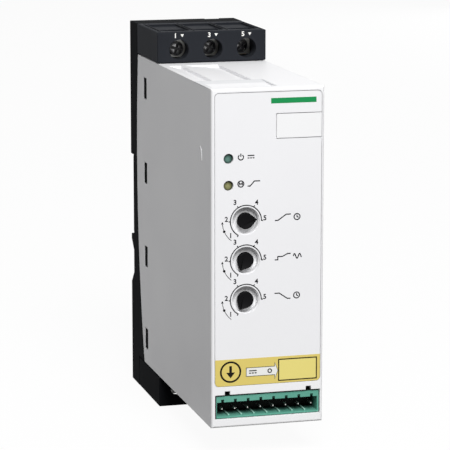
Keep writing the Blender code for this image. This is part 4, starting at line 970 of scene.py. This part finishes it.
# %% [markdown]
# A coil spring at the back pulls the rail clip up. It could be a curve with a round
# bevel, but a spin makes it as a mesh at once: the wire's round section is spun
# about the axis and lifted a little at each step. When the clip is pulled down, the
# real spring gets shorter from its top, and its foot stays where it is.

# %% Clip spring
SPRING_TURNS = 7
STEPS_PER_TURN = 16
WIRE_RADIUS = 0.25 * MILLIMETRE
WIRE_SIDES = 8
low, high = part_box("clip_spring")
axis_x, axis_y = (low.x + high.x) / 2, (low.y + high.y) / 2
rise = high.z - low.z - 2 * WIRE_RADIUS
steps = SPRING_TURNS * STEPS_PER_TURN
shape = bmesh.new()
section = bmesh.ops.create_circle(shape, segments=WIRE_SIDES, radius=WIRE_RADIUS)["verts"]
turn(shape, QUARTER_TURN_DEG, "X")
bmesh.ops.translate(shape, vec=(high.x - WIRE_RADIUS, axis_y, low.z + WIRE_RADIUS), verts=section)
bmesh.ops.spin(shape, geom=section + list(shape.edges), cent=(axis_x, axis_y, 0), axis=(0, 0, 1),
               dvec=(0, 0, rise / steps), angle=math.tau * SPRING_TURNS, steps=steps)
bmesh.ops.holes_fill(shape, edges=shape.edges, sides=WIRE_SIDES)
coil = piece("clip_coil", shape, spring_steel, "spring_steel", "housing", "clip_spring")
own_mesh(coil)
print("spring of", len(coil.data.polygons), "faces,", round((high.z - low.z) / MILLIMETRE, 2), "mm")

# %% [markdown]
# The print on the panel could be painted by a shader, but its edges would blur close
# up. So everything printed is a thin raised layer, as screen print is. Flat shapes
# are drawn in x and z first. A filled shape is one face. A line is a ribbon: at
# each point it has a left and a right edge, set square to the line's direction.

# %% Lines and filled shapes
MITRE_LIMIT = 0.5
CORNER_STEPS = 6


def millimetres(points, x=0.0, z=0.0):
    """Points given in millimetres from a place."""
    return [(x + across * MILLIMETRE, z + up * MILLIMETRE) for across, up in points]


def circle(radius, centre, steps):
    """Points round a full circle."""
    return arc(radius, 0, FULL_TURN_DEG, steps, centre)[:-1]


def outline(shape, points):
    """A filled flat shape from its corner points."""
    shape.faces.new([shape.verts.new((x, 0.0, z)) for x, z in points])


def ribbon(shape, points, width, closed=False):
    """A line of even width along the points."""
    path = [Vector(point) for point in points]
    count = len(path)
    sides = []
    for index, point in enumerate(path):
        before = path[index - 1] if index or closed else point
        after = path[(index + 1) % count] if index + 1 < count or closed else point
        arriving, leaving = point - before, after - point
        arriving = arriving.normalized() if arriving.length else leaving.normalized()
        leaving = leaving.normalized() if leaving.length else arriving
        along = (arriving + leaving).normalized()
        reach = width / 2 / max(MITRE_LIMIT, along.dot(leaving))
        across = Vector((-along.y, along.x)) * reach
        sides.append([shape.verts.new((end.x, 0.0, end.y)) for end in (point - across, point + across)])
    pairs = list(zip(sides, sides[1:])) + ([(sides[-1], sides[0])] if closed else [])
    for (right, left), (next_right, next_left) in pairs:
        shape.faces.new((right, next_right, next_left, left))


def rounded_box(left, right, bottom, top, radii):
    """Corner points with a radius for each corner, from the lower left, anticlockwise."""
    corners = ((left, bottom, 180), (right, bottom, 270), (right, top, 0), (left, top, 90))
    points = []
    for (x, z, start), radius in zip(corners, radii):
        middle = (x + radius * (1 if x == left else -1), z + radius * (1 if z == bottom else -1))
        bend = arc(radius, start, start + QUARTER_TURN_DEG, CORNER_STEPS, middle)
        points += bend if radius else [(x, z)]
    return points


print("a box with round corners has", len(rounded_box(0, 9, 0, 9, (1, 1, 1, 1))), "points")

# %% [markdown]
# The numbers could be drawn as ribbons too, but Blender has a plain typeface, and a
# text object gives it. The text becomes a mesh before it is placed. All the shapes
# in one ink are extruded together, from just in front of the panel to just below
# its surface, so that no gap shows behind them.

# %% Lettering and layers of ink
PRINT_PROUD = 0.02 * MILLIMETRE
PRINT_SUNK = 0.05 * MILLIMETRE
CAPITAL_SHARE = 0.7
BOLDNESS = 0.03
LETTER_STEPS = 3


def text(shape, words, height, x, z):
    """Plain lettering, centred on a point. Capitals are about seven tenths of the size."""
    curve = bpy.data.curves.new("text", "FONT")
    curve.body = words
    curve.size = height / CAPITAL_SHARE
    curve.offset = curve.size * BOLDNESS
    curve.align_x, curve.align_y = "CENTER", "CENTER"
    curve.resolution_u = LETTER_STEPS
    item = link(bpy.data.objects.new("text", curve))
    mesh = finished_mesh(item)
    upright = Matrix.Rotation(math.radians(QUARTER_TURN_DEG), 4, "X")
    mesh.transform(Matrix.Translation((x, 0.0, z)) @ upright)
    shape.from_mesh(mesh)
    bpy.data.objects.remove(item, do_unlink=True)


def thicken(shape, depth):
    """Extrude all the flat faces of a shape along y."""
    bmesh.ops.remove_doubles(shape, verts=shape.verts, dist=WELD)
    grown = bmesh.ops.extrude_face_region(shape, geom=list(shape.faces))["geom"]
    back = [item for item in grown if isinstance(item, bmesh.types.BMVert)]
    bmesh.ops.translate(shape, vec=(0, depth, 0), verts=back)


def printed(name, shape, finish, slot, face_y, proud=PRINT_PROUD):
    """Extrude the flat shapes through a surface that faces the viewer."""
    thicken(shape, proud + PRINT_SUNK)
    bmesh.ops.translate(shape, vec=(0, face_y - proud, 0), verts=shape.verts)
    print(name, len(shape.faces), "faces")
    return piece(name, shape, finish, slot, "housing")


print("ink stands", PRINT_PROUD / MILLIMETRE, "mm proud of the panel")

# %% [markdown]
# Ink is smoother than plastic and covers it evenly. It could have a recipe of its
# own, but the recipe for plastic already has colour, gloss and grain, so ink takes
# it with a finer grain. The white and pale inks lie over the yellow one.

# %% Inks
INK_CELL = 0.8 * MILLIMETRE
FIELD_CELL = 1.2 * MILLIMETRE
INK_GRAIN = 0.003 * MILLIMETRE
INK_EDGE = 0.05 * MILLIMETRE


def ink(name, color, shade, roughness, specular, cell=INK_CELL):
    return moulded(name, color, shade, roughness, specular, cell, INK_GRAIN, INK_EDGE)


grey_ink = ink("grey_ink", paint(32, 32, 35), paint(27, 27, 30), roughness=0.5, specular=0.05)
black_ink = ink("black_ink", paint(32, 30, 26), paint(27, 25, 21), roughness=0.5, specular=0.05)
green_ink = ink("green_ink", paint(22, 143, 79), paint(26, 136, 76), roughness=0.4, specular=0.2)
yellow_ink = ink("yellow_ink", paint(226, 206, 117), paint(222, 201, 110),
                 roughness=0.4, specular=0.2, cell=FIELD_CELL)
pale_ink = ink("pale_ink", paint(234, 220, 132), paint(231, 215, 124),
               roughness=0.4, specular=0.2, cell=FIELD_CELL)
white_ink = ink("white_ink", paint(240, 240, 236), paint(235, 235, 231), roughness=0.45, specular=0.2)
print("the grain of", white_ink.name, "is", INK_GRAIN / MILLIMETRE, "mm deep")

# %% [markdown]
# Each dial has a ring line that is open at the lower right, five ticks, the plain
# numbers 1 to 5 and a small arrow that shows which way is more. They could be
# placed by x and z, but a scale is round. So they are placed by angle and radius
# from the axis of the dial, and three dials need one list.

# %% Dial scales
RING_RADIUS = 6.0 * MILLIMETRE
RING_STEPS = 48
LINE_WIDTH = 0.4 * MILLIMETRE
TICK_ENDS = (5.9 * MILLIMETRE, 6.7 * MILLIMETRE)
TICK_DEG = (240, 180, 120, 60, 0)
NUMBER_HEIGHT = 1.8 * MILLIMETRE
NUMBER_PLACES = ((7.9, 222.0), (7.6, 173.0), (8.3, 120.5), (8.0, 59.0), (7.4, 6.6))
ARROW_RADIUS = 9.1 * MILLIMETRE
ARROW_DEG = (232.0, 186.0)
ARROW_STEPS = 8
ARROW_WIDTH = LINE_WIDTH * 0.6
ARROW_TIP_DEG = 179.0
ARROW_HEAD = [(0, 0), (-0.5, -1.0), (0.5, -1.0)]
DOT_DEG = 203.0
DOT_RADIUS = 0.5 * MILLIMETRE
DOT_STEPS = 24


def polar(radius, angle_deg, centre):
    """The point at an angle and a distance from a centre."""
    return arc(radius, angle_deg, angle_deg, 1, centre)[0]


def draw_scale(shape, centre):
    ribbon(shape, arc(RING_RADIUS, TICK_DEG[0], TICK_DEG[-1], RING_STEPS, centre), LINE_WIDTH)
    for angle in TICK_DEG:
        ribbon(shape, [polar(radius, angle, centre) for radius in TICK_ENDS], LINE_WIDTH)
    for number, (radius_mm, angle) in enumerate(NUMBER_PLACES, start=1):
        text(shape, str(number), NUMBER_HEIGHT, *polar(radius_mm * MILLIMETRE, angle, centre))
    ribbon(shape, arc(ARROW_RADIUS, *ARROW_DEG, ARROW_STEPS, centre), ARROW_WIDTH)
    outline(shape, circle(DOT_RADIUS, polar(ARROW_RADIUS, DOT_DEG, centre), DOT_STEPS))
    outline(shape, millimetres(ARROW_HEAD, *polar(ARROW_RADIUS, ARROW_TIP_DEG, centre)))


grey_print = bmesh.new()
dial_centres = [middle_of(*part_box(f"potentiometer_{index}")) for index in (1, 2, 3)]
for centre in dial_centres:
    draw_scale(grey_print, centre)
print("dial centres", dial_centres)

# %% [markdown]
# Each dial has a small picture beside it that says what it sets: a ramp that rises,
# a step, or a ramp that falls. The two ramps have a clock next to them because they
# are times, and the step has a wave because it is a voltage. A typeface of symbols
# could hold such pictures, but they have few strokes. So each is a short list of
# points in millimetres, drawn with the same ribbon as the scales.

# %% Pictures beside the dials
PICTURE_WIDTH = 0.42 * MILLIMETRE
LABEL_LEFT = 11.2 * MILLIMETRE
LABEL_RISE = 0.8 * MILLIMETRE
SIGN_RADIUS = 1.15 * MILLIMETRE
SIGN_STEPS = 24
CLOCK_ASIDE = 8.6 * MILLIMETRE
CLOCK_HANDS = [[(0, 0.75), (0, 0), (0.6, -0.3)]]
RAMP_UP = [[(0, -1.1), (1.2, -1.1), (4.4, 1.1), (6.2, 1.1)]]
RAMP_DOWN = [[(0, 1.1), (1.8, 1.1), (5.0, -1.1), (6.2, -1.1)]]
STEP_UP = [[(0, -1.1), (1.2, -1.1), (1.2, 0.1), (3.0, 0.1), (5.0, 1.1), (6.2, 1.1)]]
WAVE_START, WAVE_STEP, WAVE_STEPS, WAVE_HEIGHT = 7.2, 0.2, 16, 0.9
WAVE = [[(WAVE_START + index * WAVE_STEP, WAVE_HEIGHT * math.sin(index * WAVE_STEP * math.pi))
         for index in range(WAVE_STEPS + 1)]]


def draw(shape, lines, x, z):
    """Strokes given in millimetres from a point."""
    for points in lines:
        ribbon(shape, millimetres(points, x, z), PICTURE_WIDTH)


def ring_sign(shape, lines, x, z):
    """A small ring with strokes inside it."""
    ribbon(shape, circle(SIGN_RADIUS, (x, z), SIGN_STEPS), PICTURE_WIDTH, closed=True)
    draw(shape, lines, x, z)


for (centre_x, centre_z), picture in zip(dial_centres, (RAMP_UP, STEP_UP, RAMP_DOWN)):
    x, z = centre_x + LABEL_LEFT, centre_z + LABEL_RISE
    draw(grey_print, picture, x, z)
    if picture is STEP_UP:
        draw(grey_print, WAVE, x, z)
    else:
        ring_sign(grey_print, CLOCK_HANDS, x + CLOCK_ASIDE, z)
print("the grey ink has", len(grey_print.faces), "faces so far")

# %% [markdown]
# The upper lamp shows that power is there, and the lower one that the motor runs.
# Both get the usual signs of such devices. The grey ink is then complete, and one
# extrusion makes it a layer, because thirty small pieces would be hard to handle.

# %% Pictures beside the lamps
SIGN_ASIDE = 4.7 * MILLIMETRE
SIGN_RISE = 0.5 * MILLIMETRE
POWER_RADIUS = 1.0 * MILLIMETRE
POWER_DROP = 0.1 * MILLIMETRE
POWER_DEG = (125, 415)
POWER_STEPS = 20
POWER_STROKE = [[(0, 0.1), (0, 1.3)]]
SUPPLY_LINES = [[(2.6, 0.45), (5.2, 0.45)], [(2.6, -0.45), (3.3, -0.45)],
                [(3.55, -0.45), (4.25, -0.45)], [(4.5, -0.45), (5.2, -0.45)]]
MOTOR_STROKES = [[(-0.6, -0.5), (-0.6, 0.5), (0, -0.15), (0.6, 0.5), (0.6, -0.5)]]
RUN_RAMP = [[(2.6, -0.9), (3.6, -0.9), (5.2, 0.9), (7.4, 0.9)]]


def beside_lamp(name):
    x, z = middle_of(*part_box(name))
    return x + SIGN_ASIDE, z + SIGN_RISE


x, z = beside_lamp("power_light_pipe")
ribbon(grey_print, arc(POWER_RADIUS, *POWER_DEG, POWER_STEPS, (x, z - POWER_DROP)), PICTURE_WIDTH)
draw(grey_print, POWER_STROKE + SUPPLY_LINES, x, z)
x, z = beside_lamp("run_light_pipe")
ring_sign(grey_print, MOTOR_STROKES, x, z)
draw(grey_print, RUN_RAMP, x, z)
printed("scale_print", grey_print, grey_ink, "overlay_foil", front_y)

# %% [markdown]
# A green bar crosses the top of the panel on the right, and a yellow field fills its
# lower end. On the field lie a white pointer and a paler frame. They could be cut
# into the field like inlays, but a printer puts one ink over the other. So each
# next ink stands a little prouder than the one below it, and no two faces share
# a place.

# %% Coloured fields
BAR = (1.06, 18.6, 53.93, 55.95)
FRAME = (4.4, 19.3, -51.65, -43.5)
FIELD_TOP = -42.35 * MILLIMETRE
FIELD_CORNER = 1.5 * MILLIMETRE
POINTER = [(-8.3, -49.3), (2.85, -49.3), (2.85, -50.9), (4.1, -47.7), (2.85, -44.5), (2.85, -46.0),
           (-8.3, -46.0)]
SECOND_LAYER = 2 * PRINT_PROUD


def box_points(left, right, bottom, top):
    return millimetres([(left, bottom), (right, bottom), (right, top), (left, top)])


def print_field(name, points, finish, proud=PRINT_PROUD):
    shape = bmesh.new()
    outline(shape, points)
    printed(name, shape, finish, "overlay_foil", front_y, proud)


field_points = rounded_box(overlay_low.x, overlay_high.x, overlay_low.z, FIELD_TOP,
                           (FIELD_CORNER, FIELD_CORNER, 0, 0))
print_field("green_bar", box_points(*BAR), green_ink)
print_field("yellow_field", field_points, yellow_ink)
print_field("white_pointer", millimetres(POINTER), white_ink, SECOND_LAYER)
print_field("pale_frame", box_points(*FRAME), pale_ink, SECOND_LAYER)

# %% [markdown]
# The last ink on the field is black. It lines the pointer and the frame, draws a
# round sign with an arrow that points down to the socket, and puts the sign of a
# supply and of a terminal in the pointer. Lines could also be left open in the
# paler inks, but black over them covers small misfits, as it does in real print.

# %% Black lines on the field
OUTLINE_WIDTH = 0.42 * MILLIMETRE
POINTER_LINE = 0.2 * MILLIMETRE
THIRD_LAYER = 3 * PRINT_PROUD
SOCKET_SIGN = (-14.4, -47.2)
SOCKET_SIGN_RADIUS = 3.8 * MILLIMETRE
SOCKET_SIGN_LINE = 0.7 * MILLIMETRE
SOCKET_SIGN_STEPS = 40
DOWN_ARROW = [(-0.5, 2.3), (-0.5, -0.2), (-1.7, -0.2), (0, -2.4), (1.7, -0.2), (0.5, -0.2), (0.5, 2.3)]
SUPPLY_DASHES = [[(-7.2, -47.2), (-4.2, -47.2)], [(-7.2, -48.1), (-6.4, -48.1)],
                 [(-6.1, -48.1), (-5.3, -48.1)], [(-5.0, -48.1), (-4.2, -48.1)]]
TERMINAL_RING = (0.9, -47.65)
TERMINAL_RING_RADIUS = 0.7 * MILLIMETRE
TERMINAL_RING_STEPS = 16
black_print = bmesh.new()
ribbon(black_print, millimetres(POINTER), POINTER_LINE, closed=True)
ribbon(black_print, box_points(*FRAME), OUTLINE_WIDTH, closed=True)
sign_centre, ring_centre = millimetres([SOCKET_SIGN, TERMINAL_RING])
ribbon(black_print, circle(SOCKET_SIGN_RADIUS, sign_centre, SOCKET_SIGN_STEPS), SOCKET_SIGN_LINE,
       closed=True)
outline(black_print, millimetres(DOWN_ARROW, *sign_centre))
draw(black_print, SUPPLY_DASHES, 0.0, 0.0)
ribbon(black_print, circle(TERMINAL_RING_RADIUS, ring_centre, TERMINAL_RING_STEPS), PICTURE_WIDTH,
       closed=True)
printed("black_lines", black_print, black_ink, "overlay_foil", front_y, THIRD_LAYER)

# %% [markdown]
# The terminals on the line side carry the plain numbers 1, 3 and 5, as is usual for
# a three-pole device, each with a small arrow towards its screw. They are white on
# the black block, close to its outer edge. They could be placed by eye, but the
# screws' own boxes tell where each pole is. The block on the load side has no
# visible print, and so it gets none.

# %% Terminal numbers
TERMINAL_NUMBER = 1.8 * MILLIMETRE
NUMBER_SHIFT = 1.5 * MILLIMETRE
NUMBER_DROP = 1.6 * MILLIMETRE
WIRE_MARK = ((0.6, 0.6), (2.0, 0.6), (1.3, -0.6))
block_low, block_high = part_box("line_terminal_block")
numbers = bmesh.new()
for index, number in ((1, "1"), (2, "3"), (3, "5")):
    x = middle_of(*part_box(f"line_screw_{index}"))[0]
    z = block_high.z - NUMBER_DROP
    text(numbers, number, TERMINAL_NUMBER, x - NUMBER_SHIFT, z)
    outline(numbers, millimetres(WIRE_MARK, x, z))
printed("terminal_numbers", numbers, white_ink, "white_plastic", block_low.y)

# %% [markdown]
# The left side of the cover has one small moulded mark near the front, a thin rib
# that rises and bends over to the rear. It could be a bump in the finish, but a
# moulded rib has a real edge that catches light. So it is drawn like the print,
# thickened, and turned from the front onto the side.

# %% The mark on the left side
MARK_WIDTH = 0.6 * MILLIMETRE
MARK_BEND = 2.2 * MILLIMETRE
MARK_BEND_DEG = 100
MARK_BEND_STEPS = 10
MARK_BEHIND = 14 * MILLIMETRE
MARK_FOOT_Z = 31.5 * MILLIMETRE
MARK_RISE = 2.6 * MILLIMETRE
MARK_FACE_X = -22.07 * MILLIMETRE
MARK_DEPTH = 0.8 * MILLIMETRE
side_mark = bmesh.new()
foot_x = -(front_y + MARK_BEHIND)
bend_centre = (foot_x - MARK_BEND, MARK_FOOT_Z + MARK_RISE)
bend = arc(MARK_BEND, 0, MARK_BEND_DEG, MARK_BEND_STEPS, bend_centre)
ribbon(side_mark, [(foot_x, MARK_FOOT_Z)] + bend, MARK_WIDTH)
thicken(side_mark, MARK_DEPTH)
turn(side_mark, -QUARTER_TURN_DEG, "Z")
bmesh.ops.translate(side_mark, vec=(MARK_FACE_X, 0, 0), verts=side_mark.verts)
low_y = min(vert.co.y for vert in side_mark.verts)
piece("side_mark", side_mark, white_moulding, "white_plastic", "housing")
print("side mark starts", round((low_y - front_y) / MILLIMETRE, 1), "mm behind the panel")

# %% [markdown]
